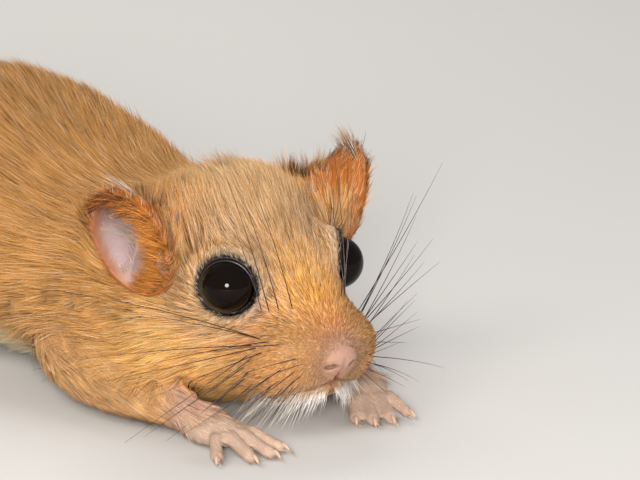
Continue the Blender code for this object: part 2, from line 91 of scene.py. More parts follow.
def to_head(points):
    """The head frame's side, back and up of places in the world."""
    sine, cosine = math.sin(HEAD_PITCH), math.cos(HEAD_PITCH)
    q = points - NOSE
    return np.stack([q[:, 0], q[:, 1] * cosine + q[:, 2] * sine, q[:, 2] * cosine - q[:, 1] * sine], -1)


def size_of(vectors):
    return np.linalg.norm(vectors, axis=-1)


def unit(vectors):
    return vectors / np.maximum(size_of(vectors), 1e-9)[..., None]


def ramp(values, low, high):
    """0 below low, 1 above high, and a smooth step between."""
    t = np.clip((values - low) / (high - low), 0, 1)
    return t * t * (3 - 2 * t)


def bell(values):
    """1 at 0, and falling off smoothly to 0 at about 2 to either side."""
    return np.exp(-(values**2))


def centre_of(node):
    low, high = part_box(node)
    return np.array((low + high) / 2) / MM


def new_object(name, mesh):
    obj = bpy.data.objects.new(name, mesh)
    bpy.context.scene.collection.objects.link(obj)
    return obj


# Camera, light and floor


SENSOR = 36.0
NEAR_CLIP, FAR_CLIP = 0.01, 20.0  # in metres

# Each light's place from the middle of the picture as ahead, right and up; its width, power and colour
LIGHTS = {
    "key": ((-250, -170, 200), 200, 0.54, (1.0, 0.97, 0.92)),
    "flash": ((-290, -14, 8), 80, 1.12, (1.0, 0.97, 0.93)),
    "fill": ((-140, 250, 60), 220, 0.32, (0.94, 0.96, 1.0)),
    "rim": ((170, -60, 260), 200, 0.46, (1.0, 0.97, 0.92)),
}
SKY = (0.93, 0.95, 1.0)
SKY_STRENGTH = 0.32
FLOOR_COLOUR = (0.60, 0.585, 0.56)
FLOOR_SIZE = 4.0  # in metres
FLOOR_DROP = 0.00005  # in metres, so that the flats don't flicker against it


def make_view():
    """The camera, and the middle of its picture with the ways ahead, right and up."""
    sine, cosine = math.sin(VIEW_HEADING), math.cos(VIEW_HEADING)
    ahead = Vector((sine * math.cos(VIEW_DROP), cosine * math.cos(VIEW_DROP), -math.sin(VIEW_DROP)))
    right = Vector((cosine, -sine, 0))
    up = right.cross(ahead)
    across = (IMAGE[0] / 2 - NOSE_PIXEL[0]) / PIXELS_PER_MM
    rise = (NOSE_PIXEL[1] - IMAGE[1] / 2) / PIXELS_PER_MM
    middle = Vector(NOSE) + right * across + up * rise
    data = bpy.data.cameras.new("view")
    data.sensor_width = SENSOR
    data.lens = SENSOR * PIXELS_PER_MM * VIEW_DISTANCE / IMAGE[0]
    data.clip_start = NEAR_CLIP
    data.clip_end = FAR_CLIP
    camera = new_object("view", data)
    turn = Matrix((right, up, -ahead)).transposed().to_4x4()
    camera.matrix_world = Matrix.Translation((middle - ahead * VIEW_DISTANCE) * MM) @ turn
    bpy.context.scene.camera = camera
    return middle, ahead, right, up


def make_studio(middle, ahead, right, up):
    world = bpy.data.worlds.new("studio")
    world.use_nodes = True
    sky = world.node_tree.nodes["Background"].inputs
    sky["Color"].default_value = (*SKY, 1.0)
    sky["Strength"].default_value = SKY_STRENGTH
    bpy.context.scene.world = world
    for name, (offset, size, power, colour) in LIGHTS.items():
        data = bpy.data.lights.new(name, "AREA")
        data.shape = "DISK"
        data.size = size * MM
        data.energy = power
        data.color = colour
        lamp = new_object(name, data)
        place = middle + ahead * offset[0] + right * offset[1] + up * offset[2]
        turn = (middle - place).normalized().to_track_quat("-Z", "Y").to_matrix().to_4x4()
        lamp.matrix_world = Matrix.Translation(place * MM) @ turn
        lamp.visible_glossy = name == "flash"
    bpy.ops.mesh.primitive_plane_add(size=FLOOR_SIZE, location=(0, 0, -FLOOR_DROP))
    floor = bpy.context.object
    floor.name = "floor"
    floor.data.materials.append(speckled("floor", *shades(FLOOR_COLOUR, 0.97, 1.03), 6.0, 0.9, "Generated"))


# Materials


def material(name):
    made = bpy.data.materials.new(name)
    made.use_nodes = True
    tree = made.node_tree
    return made, tree, tree.nodes["Principled BSDF"]


def shades(colour, dark, light):
    """A darker and a lighter shade of a colour."""
    return [c * dark for c in colour], [min(1.0, c * light) for c in colour]


def textured(tree, kind, scale, coordinates="Object"):
    """A texture of a given scale, placed by the object's own coordinates or by generated ones."""
    place = tree.nodes.new("ShaderNodeTexCoord")
    texture = tree.nodes.new(kind)
    texture.inputs["Scale"].default_value = scale
    tree.links.new(place.outputs[coordinates], texture.inputs["Vector"])
    return texture


def speckled(name, low, high, scale, roughness, coordinates="Object"):
    """A material that goes between two colours by noise."""
    made, tree, shader = material(name)
    noise = textured(tree, "ShaderNodeTexNoise", scale, coordinates)
    shade = tree.nodes.new("ShaderNodeValToRGB")
    shade.color_ramp.elements[0].color = (*low, 1)
    shade.color_ramp.elements[1].color = (*high, 1)
    tree.links.new(noise.outputs["Fac"], shade.inputs["Fac"])
    tree.links.new(shade.outputs["Color"], shader.inputs["Base Color"])
    shader.inputs["Roughness"].default_value = roughness
    return made


def painted(name, amount, scale, roughness, specular):
    """A material with the painted markings and painted shade, broken up by fine noise."""
    made, tree, shader = material(name)
    paint = tree.nodes.new("ShaderNodeAttribute")
    paint.attribute_name = "markings_and_shading"
    noise = textured(tree, "ShaderNodeTexNoise", scale)
    noise.inputs["Detail"].default_value = 4.0
    level = tree.nodes.new("ShaderNodeMapRange")
    level.inputs["To Min"].default_value = 1.0 - amount
    level.inputs["To Max"].default_value = 1.0 + amount
    mix = tree.nodes.new("ShaderNodeVectorMath")
    mix.operation = "SCALE"
    tree.links.new(noise.outputs["Fac"], level.inputs["Value"])
    tree.links.new(paint.outputs["Color"], mix.inputs[0])
    tree.links.new(level.outputs["Result"], mix.inputs["Scale"])
    tree.links.new(mix.outputs["Vector"], shader.inputs["Base Color"])
    shader.inputs["Roughness"].default_value = roughness
    shader.inputs["Specular IOR Level"].default_value = specular
    return made, tree, shader


def skin_material():
    made, tree, shader = painted("skin", 0.12, 900.0, 0.5, 0.35)
    shader.inputs["Subsurface Weight"].default_value = 0.25
    shader.inputs["Subsurface Radius"].default_value = (1.0, 0.35, 0.2)
    shader.inputs["Subsurface Scale"].default_value = 0.0008
    pores = textured(tree, "ShaderNodeTexVoronoi", 3200.0)
    bump = tree.nodes.new("ShaderNodeBump")
    bump.inputs["Strength"].default_value = 0.35
    bump.inputs["Distance"].default_value = 0.00008
    tree.links.new(pores.outputs["Distance"], bump.inputs["Height"])
    tree.links.new(bump.outputs["Normal"], shader.inputs["Normal"])
    return made


def coat_material():
    return painted("coat", 0.10, 700.0, 0.6, 0.15)[0]


def eye_material():
    made = speckled("eye", (0.0035, 0.0022, 0.002), (0.005, 0.003, 0.002), 900.0, 0.035)
    shader = made.node_tree.nodes["Principled BSDF"]
    shader.inputs["IOR"].default_value = 1.36
    shader.inputs["Specular IOR Level"].default_value = 0.2
    return made


def horn_material(name, colour, roughness):
    return speckled(name, *shades(colour, 0.75, 1.15), 1500.0, roughness)


# The tail's line, as the solids have it

TAIL_ROOT = (0.0, 68.0, 5.6)
TAIL_LENGTH = 64.0
TAIL_SWING = math.radians(96)
TAIL_STEPS = 96
LYING = 0.56  # the tail's height as a share of its width
TailLine = namedtuple("TailLine", "place heading share reach core")


def tail_line():
    """Points along the tail's middle, headings, shares of its length, and radii of coat and flesh."""
    share = np.linspace(0, 1, TAIL_STEPS + 1)
    swing = np.interp(share, (0.0, 0.15, 0.75, 1.0), (0.0, 0.05, 0.9, 1.0))
    heading = TAIL_SWING * swing
    step = np.stack([np.sin(heading), np.cos(heading)], -1) * TAIL_LENGTH / TAIL_STEPS
    place = np.zeros((TAIL_STEPS + 1, 3))
    place[:, :2] = (TAIL_ROOT[0], NOSE[1] + TAIL_ROOT[1])
    place[1:, :2] += np.cumsum(step[:-1], axis=0)
    reach = np.interp(share, (0.0, 0.12, 0.35, 0.6, 0.82, 1.0), (3.3, 4.2, 5.0, 5.3, 5.0, 3.0))
    lying = reach * LYING - 0.15
    place[:, 2] = lying + (TAIL_ROOT[2] - lying) * np.interp(share, (0.0, 0.2, 1.0), (1.0, 0.0, 0.0))
    core = reach * LYING * np.interp(share, (0.0, 0.9, 1.0), (0.62, 0.5, 0.25))
    return TailLine(place, heading, share, reach, core)


TAIL = tail_line()


def nearest_on_tail(points):
    """Which point of the tail's line is nearest to each place, seen from above."""
    return np.argmin(((points[:, None, :2] - TAIL.place[None, :, :2]) ** 2).sum(-1), axis=1)


def add_ring(bm, middle, side, other, radius, sides):
    """A ring of vertices in a bmesh in metres, round a point in millimetres."""
    angles = np.linspace(0, 2 * math.pi, sides, endpoint=False)
    ring = [middle + (side * math.cos(a) + other * math.sin(a)) * radius for a in angles]
    return [bm.verts.new(Vector(p) * MM) for p in ring]


def bridge(bm, row, following):
    for k, vertex in enumerate(row):
        n = (k + 1) % len(row)
        bm.faces.new((vertex, row[n], following[n], following[k]))


def add_tube(bm, points, radii, sides):
    """A tapered tube through points in millimetres, in a bmesh in metres."""
    ahead = unit(np.gradient(points, axis=0))
    side = unit(np.cross(ahead[0], (0.31, 0.2, 0.93)))
    rows = []
    for point, way, radius in zip(points, ahead, radii):
        side = unit(side - way * (side @ way))
        rows.append(add_ring(bm, point, side, np.cross(way, side), radius, sides))
    for row, following in zip(rows, rows[1:]):
        bridge(bm, row, following)
    bm.faces.new(rows[0][::-1])
    bm.faces.new(rows[-1])


def closed_tube(points, radius, sides):
    """A ring-shaped tube, as a bmesh in metres."""
    around = unit(np.roll(points, -1, axis=0) - np.roll(points, 1, axis=0))
    out = unit(points - points.mean(axis=0))
    bm = bmesh.new()
    rows = [add_ring(bm, p, o, c, radius, sides) for p, o, c in zip(points, out, np.cross(around, out))]
    for row, following in zip(rows, rows[1:] + rows[:1]):
        bridge(bm, row, following)
    return bm


# The skin

# How far each node is swollen to meet its neighbours, how deep its coat is and how much it is smoothed
Flesh = namedtuple("Flesh", "swell depth smoothing")
FLESH = {
    "head": Flesh(0.0, 0.9, 0.0),
    "neck": Flesh(0.35, 1.2, 0.7),
    "chest": Flesh(0.35, 1.5, 1.0),
    "abdomen": Flesh(0.35, 1.6, 1.0),
    "rump": Flesh(0.35, 1.6, 1.0),
    "tail": Flesh(0.0, 0.0, 0.5),
}
for word in SIDES:
    FLESH["thigh_" + word] = Flesh(0.35, 1.5, 1.0)
    FLESH["foreleg_" + word] = Flesh(0.35, 0.6, 0.6)
    FLESH["forepaw_" + word] = Flesh(0.0, 0.08, 0.0)
    FLESH["hindfoot_" + word] = Flesh(0.0, 0.1, 0.0)
    FLESH["ear_" + word] = Flesh(0.3, 0.03, 0.05)
NAMES = list(FLESH)
VOXEL = 0.19
SKIN_TRIANGLES = 170000
WELD = 0.000002  # in metres
EAR_CUTS = 3  # of each edge, so that the ears' own points are near every place on them
LABEL_ROUNDS, FLESH_ROUNDS, BROW_ROUNDS, MOVE_ROUNDS = 8, 24, 70, 4  # of smoothing
# Where the skin is cut finer: round the nose, as a place in the head and a reach
FINE_PLACE, FINE_REACH = (0, 0.6, -0.6), 3.4
SKIN_CLEARANCE, HAIR_CLEARANCE, SINGLE_CLEARANCE, WHISKER_CLEARANCE = 0.05, 0.03, 0.04, 0.4  # over the floor


def flesh_bmesh(node):
    """A node's surface, welded and swollen."""
    bm = bmesh.new()
    bm.from_mesh(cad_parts[node].data)
    bmesh.ops.remove_doubles(bm, verts=bm.verts, dist=WELD)
    bmesh.ops.recalc_face_normals(bm, faces=bm.faces)
    if node.startswith("ear"):
        bmesh.ops.subdivide_edges(bm, edges=bm.edges, cuts=EAR_CUTS, use_grid_fill=True)
    bm.normal_update()
    moves = [v.normal * FLESH[node].swell * MM for v in bm.verts]
    for vertex, move in zip(bm.verts, moves):
        vertex.co += move
    return bm


def tail_flesh():
    bm = bmesh.new()
    add_tube(bm, TAIL.place[::4], TAIL.core[::4], 14)
    return bm


def to_nose_from(centre):
    return unit(in_head(0, 2.5, 0) - centre)


def lid_ring(centre, look, ahead, wider, count):
    """Points along the edge of the lids, drawn out to a corner towards the nose."""
    side = unit(np.cross(look, (0.0, 0.0, 1.0)))
    rise = np.cross(side, look)
    angles = np.linspace(0, 2 * math.pi, count, endpoint=False)[:, None]
    out = side * np.cos(angles) + rise * np.sin(angles)
    drawn = TEAR_CORNER * np.maximum(0.0, out @ to_nose_from(centre))[:, None] ** 8
    return centre + look * (ahead - 0.5 * drawn) + out * (LID_RADIUS + wider + drawn)


# An ear's inner forms: nose-ward, up and out of the cup from the ear's own centre, with radii
EAR_FOLD = ((-1.6, -3.4, -0.5, 0.5), (-0.9, -1.6, -1.2, 0.55), (0.1, 0.2, -1.6, 0.5), (0.4, 2.0, -1.4, 0.35))
EAR_LOBE = ((2.7, -2.6, -0.3, 0.7), (2.5, -1.4, 0.1, 0.75), (2.6, -0.2, 0.0, 0.5))
EAR_ROOT = ((1.2, -2.8, -2.2, 1.5), (0.4, 0.0, -3.0, 1.8), (0.0, 2.4, -2.6, 1.0))
# The bed under an ear's lower half: half its width and height, then how far out each ring is, and its size
BED_WIDE, BED_TALL, BED_RADIUS = 4.6, 5.5, 0.6
BED_RINGS = ((-0.9, 1.0), (-1.9, 0.86), (-2.8, 0.66))
# Tubes under the edge of the lids: how far behind it, how much wider, radius
LID_BEDS = ((0.25, 0.36, 0.34), (0.6, 0.6, 0.5))


def ear_axes(side):
    """Nose-ward, up and out of the cup."""
    up = unit(in_head(side * EAR_UP[0], EAR_UP[1], EAR_UP[2]) - NOSE)
    face = unit(in_head(side * EAR_FACE[0], EAR_FACE[1], EAR_FACE[2]) - NOSE)
    across = unit(np.cross(up, face)) * -side
    return np.stack([across, up, unit(np.cross(across, up)) * -side])


def in_ear(side, places):
    return in_head(side * EAR_PLACE[0], EAR_PLACE[1], EAR_PLACE[2]) + np.asarray(places) @ ear_axes(side)


def to_ear(side, points):
    return (points - in_head(side * EAR_PLACE[0], EAR_PLACE[1], EAR_PLACE[2])) @ ear_axes(side).T


def ear_bed():
    """Flesh that closes the crease between an ear's lower half and the head, as tubes in its frame."""
    around = np.radians(np.linspace(170, 355, 30))
    for out, size in BED_RINGS:
        spots = [BED_WIDE * size * np.cos(around), BED_TALL * size * np.sin(around), np.full(30, out)]
        yield np.stack([*spots, np.full(30, BED_RADIUS)], 1)


def ear_folds():
    """The forms inside an ear's cup, as tubes in its frame."""
    for form in (EAR_FOLD, EAR_LOBE, EAR_ROOT):
        form = np.array(form)
        spots = np.linspace(0, len(form) - 1, 9)
        yield np.stack([np.interp(spots, range(len(form)), column) for column in form.T], 1)


def ear_tube(side, form):
    bm = bmesh.new()
    add_tube(bm, in_ear(side, form[:, :3]), form[:, 3], 10)
    return bm


def gather_flesh():
    """One rough mesh of all the flesh, and a tree that finds the node that a place belongs to."""
    whole = bmesh.new()
    owners = []

    def take(bm, name):
        owners.extend((vertex.co.copy(), NAMES.index(name)) for vertex in bm.verts)
        piece = bpy.data.meshes.new(name)
        bm.to_mesh(piece)
        bm.free()
        whole.from_mesh(piece)
        bpy.data.meshes.remove(piece)

    for name in NAMES:
        take(tail_flesh() if name == "tail" else flesh_bmesh(name), name)
    for (centre, look), (word, side) in zip(eye_frames(), SIDES.items()):
        for behind, wider, radius in LID_BEDS:
            take(closed_tube(lid_ring(centre, look, LID_AHEAD - behind, wider, 48), radius, 10), "head")
        for form in ear_folds():
            take(ear_tube(side, form), "ear_" + word)
        for form in ear_bed():
            take(ear_tube(side, form), "head")
    mesh = bpy.data.meshes.new("skin")
    whole.to_mesh(mesh)
    whole.free()
    tree = KDTree(len(owners))
    for place, name in owners:
        tree.insert(place, name)
    tree.balance()
    return mesh, tree


def evaluated_mesh(obj):
    graph = bpy.context.evaluated_depsgraph_get()
    mesh = bpy.data.meshes.new_from_object(obj.evaluated_get(graph))
    obj.modifiers.clear()
    obj.data = mesh
    return mesh


class Surface:
    """The skin's points, edges and triangles as arrays, in millimetres."""

    def __init__(self, mesh):
        self.mesh = mesh
        count = len(mesh.vertices)
        self.points = np.empty(count * 3)
        mesh.vertices.foreach_get("co", self.points)
        self.points = self.points.reshape(-1, 3) / MM
        self.edges = np.empty(len(mesh.edges) * 2, int)
        mesh.edges.foreach_get("vertices", self.edges)
        self.edges = self.edges.reshape(-1, 2)
        self.degree = np.bincount(self.edges.ravel(), minlength=count).astype(float)
        mesh.calc_loop_triangles()
        self.triangles = np.empty(len(mesh.loop_triangles) * 3, int)
        mesh.loop_triangles.foreach_get("vertices", self.triangles)
        self.triangles = self.triangles.reshape(-1, 3)

    def spread(self, values, rounds, share=0.6, weight=1.0):
        """values smoothed over the surface's edges."""
        values = np.array(values, float)
        flat = values.reshape(len(values), -1)
        a, b = self.edges.T
        for _ in range(rounds):
            for k in range(flat.shape[1]):
                column = flat[:, k]
                total = np.bincount(a, column[b], len(column)) + np.bincount(b, column[a], len(column))
                flat[:, k] = column + (total / np.maximum(self.degree, 1) - column) * share * weight
        return flat.reshape(values.shape)

    def normals(self):
        corners = self.points[self.triangles]
        face = np.cross(corners[:, 1] - corners[:, 0], corners[:, 2] - corners[:, 0])
        out = np.zeros_like(self.points)
        for k in range(3):
            for axis in range(3):
                out[:, axis] += np.bincount(self.triangles[:, k], face[:, axis], len(out))
        return unit(out)

    def write(self):
        self.mesh.vertices.foreach_set("co", (self.points * MM).ravel())
        self.mesh.update()


def eye_frames():
    """Each eye's centre and the way it looks."""
    for word, side in SIDES.items():
        look = in_head(side * EYE_AXIS[0], EYE_AXIS[1], EYE_AXIS[2]) - NOSE
        yield centre_of("eye_" + word), unit(look)


def near_eye(points):
    """For each point, its distance from the nearer eye's centre and the way out from that eye's axis."""
    away = np.full(len(points), 1e9)
    out = np.zeros((len(points), 3))
    for centre, look in eye_frames():
        q = points - centre
        distance = size_of(q)
        nearer = distance < away
        away[nearer] = distance[nearer]
        out[nearer] = unit(q - (q @ look)[:, None] * look)[nearer]
    return away, out


def share_of(shares, start):
    return sum(shares[:, k] for k, name in enumerate(NAMES) if name.startswith(start))


def coat_depth(points, shares):
    """How deep the coat lies over each point of the skin, inside the solids."""
    depth = shares @ np.array([FLESH[n].depth for n in NAMES])
    _, back, up = to_head(points).T
    head = share_of(shares, "head")
    away, _ = near_eye(points)
    face = 0.06 + 0.82 * ramp(back, 1.0, 13.0) + 0.5 * ramp(back, 7, 13) * ramp(up, 3, 8)
    face = 0.03 + (face - 0.03) * ramp(away, 2.4, 4.4)
    leg = share_of(shares, "foreleg")
    meeting = 4 * leg * (1 - leg)
    return (depth * (1 - head) + face * head) * (1 - 0.75 * meeting)


def refined(mesh, place, reach):
    """The mesh with its faces near a place cut finer."""
    bm = bmesh.new()
    bm.from_mesh(mesh)
    near = [e for e in bm.edges if (e.verts[0].co / MM - Vector(place)).length < reach]
    bmesh.ops.subdivide_edges(bm, edges=near, cuts=1)
    bmesh.ops.triangulate(bm, faces=[f for f in bm.faces if len(f.verts) > 3])
    bm.to_mesh(mesh)
    bm.free()


def nostril_distance(side, up):
    """Distance from the middle of a nostril's slit, 1 at its edge."""
    return np.hypot((side - 1.05 - 0.35 * (up + 0.75)) / 0.42, (up + 0.77 + 0.25 * (side - 1.05)) / 0.20)


def nose_relief(points):
    """How far the bare nose stands out at each point: its pad, nostrils, wings and middle groove."""
    side, back, up = to_head(points).T
    side = abs(side)
    front = ramp(-back, -1.9, -1.0)
    pad = 0.12 * ramp(-np.hypot(side / 1.7, (up + 0.4) / 1.3), -1.1, -0.85)
    slit = nostril_distance(side, up)
    wing = 0.14 * bell(np.hypot((side - 1.15) / 0.42, (up + 0.3) / 0.28))
    groove = 0.17 * bell(side / 0.15) * ramp(-up, -0.35, 0.5) * ramp(up, -3.2, -2.6)
    return front * (pad + wing - 0.42 * bell(slit) - groove)


def lids_relief(points, head):
    """The skin round each eye, lowered to a cone that falls away from the edge of the lids."""
    for centre, look in eye_frames():
        q = points - centre
        ahead = q @ look
        wide = size_of(q - ahead[:, None] * look)
        cap = LID_AHEAD + 0.12 - 0.8 * (wide - LID_RADIUS - 0.1)
        near = ramp(-wide, -4.8, -3.2) * ramp(ahead, -2.5, -1.2) * head
        points = points - look * (np.maximum(0, ahead - cap) * near)[:, None]
    return points


def make_skin():
    """The skin as one smooth surface, drawn in from the solids by the coat's depth."""
    mesh, tree = gather_flesh()
    skin = new_object("skin", mesh)
    remesh = skin.modifiers.new("voxels", "REMESH")
    remesh.mode = "VOXEL"
    remesh.voxel_size = VOXEL * MM
    evaluated_mesh(skin)
    thin = skin.modifiers.new("thin", "DECIMATE")
    thin.ratio = min(1.0, SKIN_TRIANGLES / (2 * len(skin.data.polygons)))
    mesh = evaluated_mesh(skin)
    refined(mesh, in_head(*FINE_PLACE), FINE_REACH)
    surface = Surface(mesh)
    shares = np.zeros((len(surface.points), len(NAMES)))
    labels = np.array([tree.find(p * MM)[1] for p in surface.points])
    shares[np.arange(len(labels)), labels] = 1
    shares = surface.spread(shares, LABEL_ROUNDS)
    smoothing = shares @ np.array([FLESH[n].smoothing for n in NAMES])
    away, _ = near_eye(surface.points)
    surface.points = surface.spread(surface.points, 2, 0.5)
    surface.points = surface.spread(surface.points, FLESH_ROUNDS, 0.6, smoothing)
    head = share_of(shares, "head")
    surface.points = lids_relief(surface.points, head)
    brow = head * ramp(away, 2.75, 3.2) * ramp(-away, -7.6, -5.2)
    surface.points = surface.spread(surface.points, BROW_ROUNDS, 0.6, brow)
    swell = shares @ np.array([FLESH[n].swell for n in NAMES])
    move = surface.spread(swell + coat_depth(surface.points, shares), MOVE_ROUNDS)
    surface.points -= surface.normals() * (move - nose_relief(surface.points))[:, None]
    surface.points[:, 2] = np.maximum(surface.points[:, 2], SKIN_CLEARANCE)
    surface.write()
    return skin, surface, shares


# Markings and painted shade, the same for skin and coat

# Each mark's place in the head as distance from the midline, back and up; reach, strength, colour
HEAD_MARKS = (
    ((0.0, 15.5, 8.5), 5.4, 0.8, (0.62, 0.40, 0.18)),  # crown
    ((8.0, 14.0, 4.5), 4.2, 0.9, (0.66, 0.28, 0.055)),  # temple
    ((0.0, 9.0, 5.8), 3.8, 0.8, (0.42, 0.23, 0.10)),  # brow
    ((3.6, 12.0, 7.0), 3.0, 0.6, (0.42, 0.235, 0.105)),  # forehead
    ((0.0, 4.5, 3.2), 2.6, 0.9, (0.72, 0.33, 0.07)),  # bridge of the nose
    ((3.8, 5.0, 0.4), 2.4, 0.8, (0.46, 0.195, 0.065)),  # side of the muzzle
    ((3.6, 3.4, -2.2), 2.0, 0.8, (0.98, 0.385, 0.15)),  # whisker pad
    ((1.8, 2.2, -4.0), 1.8, 0.8, (0.66, 0.46, 0.32)),  # lip
    ((8.5, 11.5, -2.5), 4.4, 0.85, (0.66, 0.35, 0.115)),  # cheek
    ((7.0, 9.0, -6.5), 3.6, 0.85, (0.64, 0.285, 0.07)),  # jaw
    # The throat's orange is lightened, partly painted light for its downward-facing fur
    ((0.0, 8.0, -8.5), 5.0, 0.9, (1.0, 0.46, 0.13)),  # throat
    ((0.0, 2.2, 1.4), 1.8, 0.8, (0.78, 0.265, 0.055)),  # end of the bridge
    ((0.0, 0.4, -0.3), 2.4, 1.0, (0.335, 0.20, 0.163)),  # nose pad
)
GOLD = (0.50, 0.245, 0.075)
BACK = (0.40, 0.195, 0.06)
CREAM = (1.0, 0.74, 0.50)
RUST = (0.42, 0.20, 0.07)
EAR_FUR = (0.32, 0.098, 0.013)
EAR_SKIN = (0.32, 0.23, 0.225)
# EAR_SHADE is painted shade in an ear's cup
EAR_SHADE = (0.11, 0.045, 0.028)
EAR_PALE = (0.50, 0.33, 0.25)
FOREARM = (0.54, 0.29, 0.12)
PAW = (0.42, 0.29, 0.22)
WRIST_SKIN = (0.60, 0.36, 0.26)
LID = (0.012, 0.008, 0.007)
TEAR = (0.22, 0.13, 0.12)
WHISKER = (0.03, 0.018, 0.012)
WHISKER_PALE = (0.8, 0.72, 0.6)
CLAW = (0.50, 0.34, 0.26)
EYE_RING = (0.30, 0.175, 0.095)
EYE_PALE = (0.62, 0.45, 0.30)
PALE_HAIR = (0.88, 0.66, 0.44)
PALE_LIP = (0.97, 0.88, 0.82)
EAR_FRINGE = (0.55, 0.21, 0.043)
# partly the fringe's rusty red, partly painted shade
EAR_RUST_AND_SHADE = (0.14, 0.042, 0.014)
TEAR_STREAK = (0.40, 0.28, 0.25)
EAR_INNER = (0.40, 0.30, 0.22)
NOSTRIL_SHADE = (0.09, 0.02, 0.015)
# partly the guard hairs' own silver, partly a painted glint
GUARD_PALE_AND_GLINT = (0.70, 0.56, 0.44)
GUARD_DARK = (0.06, 0.03, 0.018)
CLEFT_SHADE = (0.20, 0.035, 0.025)
SPOT = (0.20, 0.06, 0.03)
SHADE_UNDER_COAT = 0.62  # painted shade on the skin under the coat, as a share of the coat's colour

WHISKER_ROWS = 5
WHISKERS_PER_ROW = 6
WHISKER_POINTS = 12
BROW_WHISKERS = 4
WHISKER_LENGTH = {-1: (1.0, 0.85, 0.7, 0.6, 0.5), 1: (1.0, 1.0, 0.9, 0.75, 0.6)}
WHISKER_RISE = {-1: (0.1, -0.3, -0.7, -1.1, -1.5), 1: (0.9, 0.45, 0.0, -0.4, -0.75)}  # by side and row
# across, behind the nose, heading and spread of the fingers
WRIST = {-1: (-8.6, 7.8, math.radians(-3), 1.0), 1: (8.2, 8.2, math.radians(-26), 0.6)}


def whisker_roots():
    """Where the whiskers of one side stand in the head's frame, row by row from the front."""
    for row in range(WHISKER_ROWS):
        for column in range(WHISKERS_PER_ROW):
            yield 2.6 + 0.42 * column, 1.6 + 0.62 * column, -0.3 - 0.68 * row + 0.10 * column


def mixed(colours, colour, amount):
    return colours + (np.array(colour) - colours) * np.clip(amount, 0, 1)[:, None]


def near_wrist(points):
    """1 at the front wrists, 0 from a few millimetres up the forearm."""
    away = np.full(len(points), 1e9)
    for across, behind, _, _ in WRIST.values():
        away = np.minimum(away, size_of(points - (across, NOSE[1] + behind, 2.0)))
    return ramp(-away, -6.0, -2.5)


def marks(points, shares, normals):
    """The colours laid over the gold, one after the other, and how strong each is at each point."""
    head = share_of(shares, "head") + share_of(shares, "neck") * 0.6
    leg, ear = share_of(shares, "foreleg"), share_of(shares, "ear")
    side, back, up = to_head(points).T
    place = np.column_stack([abs(side), back, up])
    yield BACK, ramp(normals[:, 2], 0.2, 0.95) * 0.9
    under = ramp(-points[:, 2], -6.5, -2.5) * ramp(-normals[:, 2], -0.2, 0.7)
    yield CREAM, under * (1 - 0.9 * head)
    yield RUST, share_of(shares, "tail")
    yield FOREARM, leg
    yield WRIST_SKIN, near_wrist(points) * leg
    for middle, reach, strength, colour in HEAD_MARKS:
        yield colour, strength * bell(size_of(place - middle) / reach) * head
    away, _ = near_eye(points)
    yield EYE_RING, 0.65 * bell((away - 3.7) / 0.6)
    yield EYE_PALE, 0.6 * ramp(-away, -3.1, -2.7)
    for centre, look in eye_frames():
        corner = centre + look * LID_AHEAD + to_nose_from(centre) * (LID_RADIUS + 1.2)
        yield TEAR_STREAK, 0.7 * bell(size_of(points - corner) / 0.75)
    yield LID, ramp(-away, -2.66, -2.46)
    # Painted shade in the nostrils' slits
    yield NOSTRIL_SHADE, bell(nostril_distance(abs(side), up)) * ramp(-back, -1.6, -0.9)
    # Painted shade in the cleft of the upper lip
    yield CLEFT_SHADE, bell(np.hypot(side / 0.28, (up + 2.25) / 0.75)) * ramp(-back, -1.9, -0.9)
    for root in whisker_roots():
        yield SPOT, 0.4 * bell(size_of(place - root) / 0.2) * head
    yield PAW, share_of(shares, "forepaw") + share_of(shares, "hindfoot")
    yield EAR_FUR, ear
    for word, side_of in SIDES.items():
        onward, rise, out = to_ear(side_of, points).T
        cup = np.hypot(onward / EAR_WIDE, rise / EAR_TALL)
        inside = shares[:, NAMES.index("ear_" + word)] * ramp(-cup, -0.92, -0.72)
        inside = inside * ramp(normals @ ear_axes(side_of)[2], 0.0, 0.4)
        yield EAR_SKIN, inside
        # Painted shade in the cup: under its upper rim, and deep in the hollow
        yield EAR_SHADE, inside * ramp(rise, 0.2, 3.0) * 0.9
        yield EAR_SHADE, inside * ramp(-out, 1.2, 2.2) * 0.5
        yield EAR_PALE, inside * ramp(-rise, 2.4, 3.8) * 0.8


def markings_and_shading(points, shares, normals):
    """The coat's colour at each point, with its painted shade and painted light."""
    colours = np.tile(GOLD, (len(points), 1))
    for colour, strength in marks(points, shares, normals):
        colours = mixed(colours, colour, strength)
    return colours


def bareness(points, shares):
    """1 where the skin shows, 0 under the thick coat."""
    nose = ramp(-size_of(to_head(points) - (0, 0.6, -0.4)), -2.0, -1.2)
    away, _ = near_eye(points)
    bare = share_of(shares, "forepaw") + share_of(shares, "hindfoot") + share_of(shares, "ear")
    bare += nose * share_of(shares, "head") + ramp(-away, -2.5, -2.32)
    return np.clip(bare + near_wrist(points) * share_of(shares, "foreleg"), 0, 1)


def paint(mesh, colours):
    """Colours, one a vertex, as the mesh's markings and painted shade."""
    layer = mesh.color_attributes.new("markings_and_shading", "FLOAT_COLOR", "POINT")
    layer.data.foreach_set("color", np.column_stack([colours, np.ones(len(colours))]).ravel())


# The coat


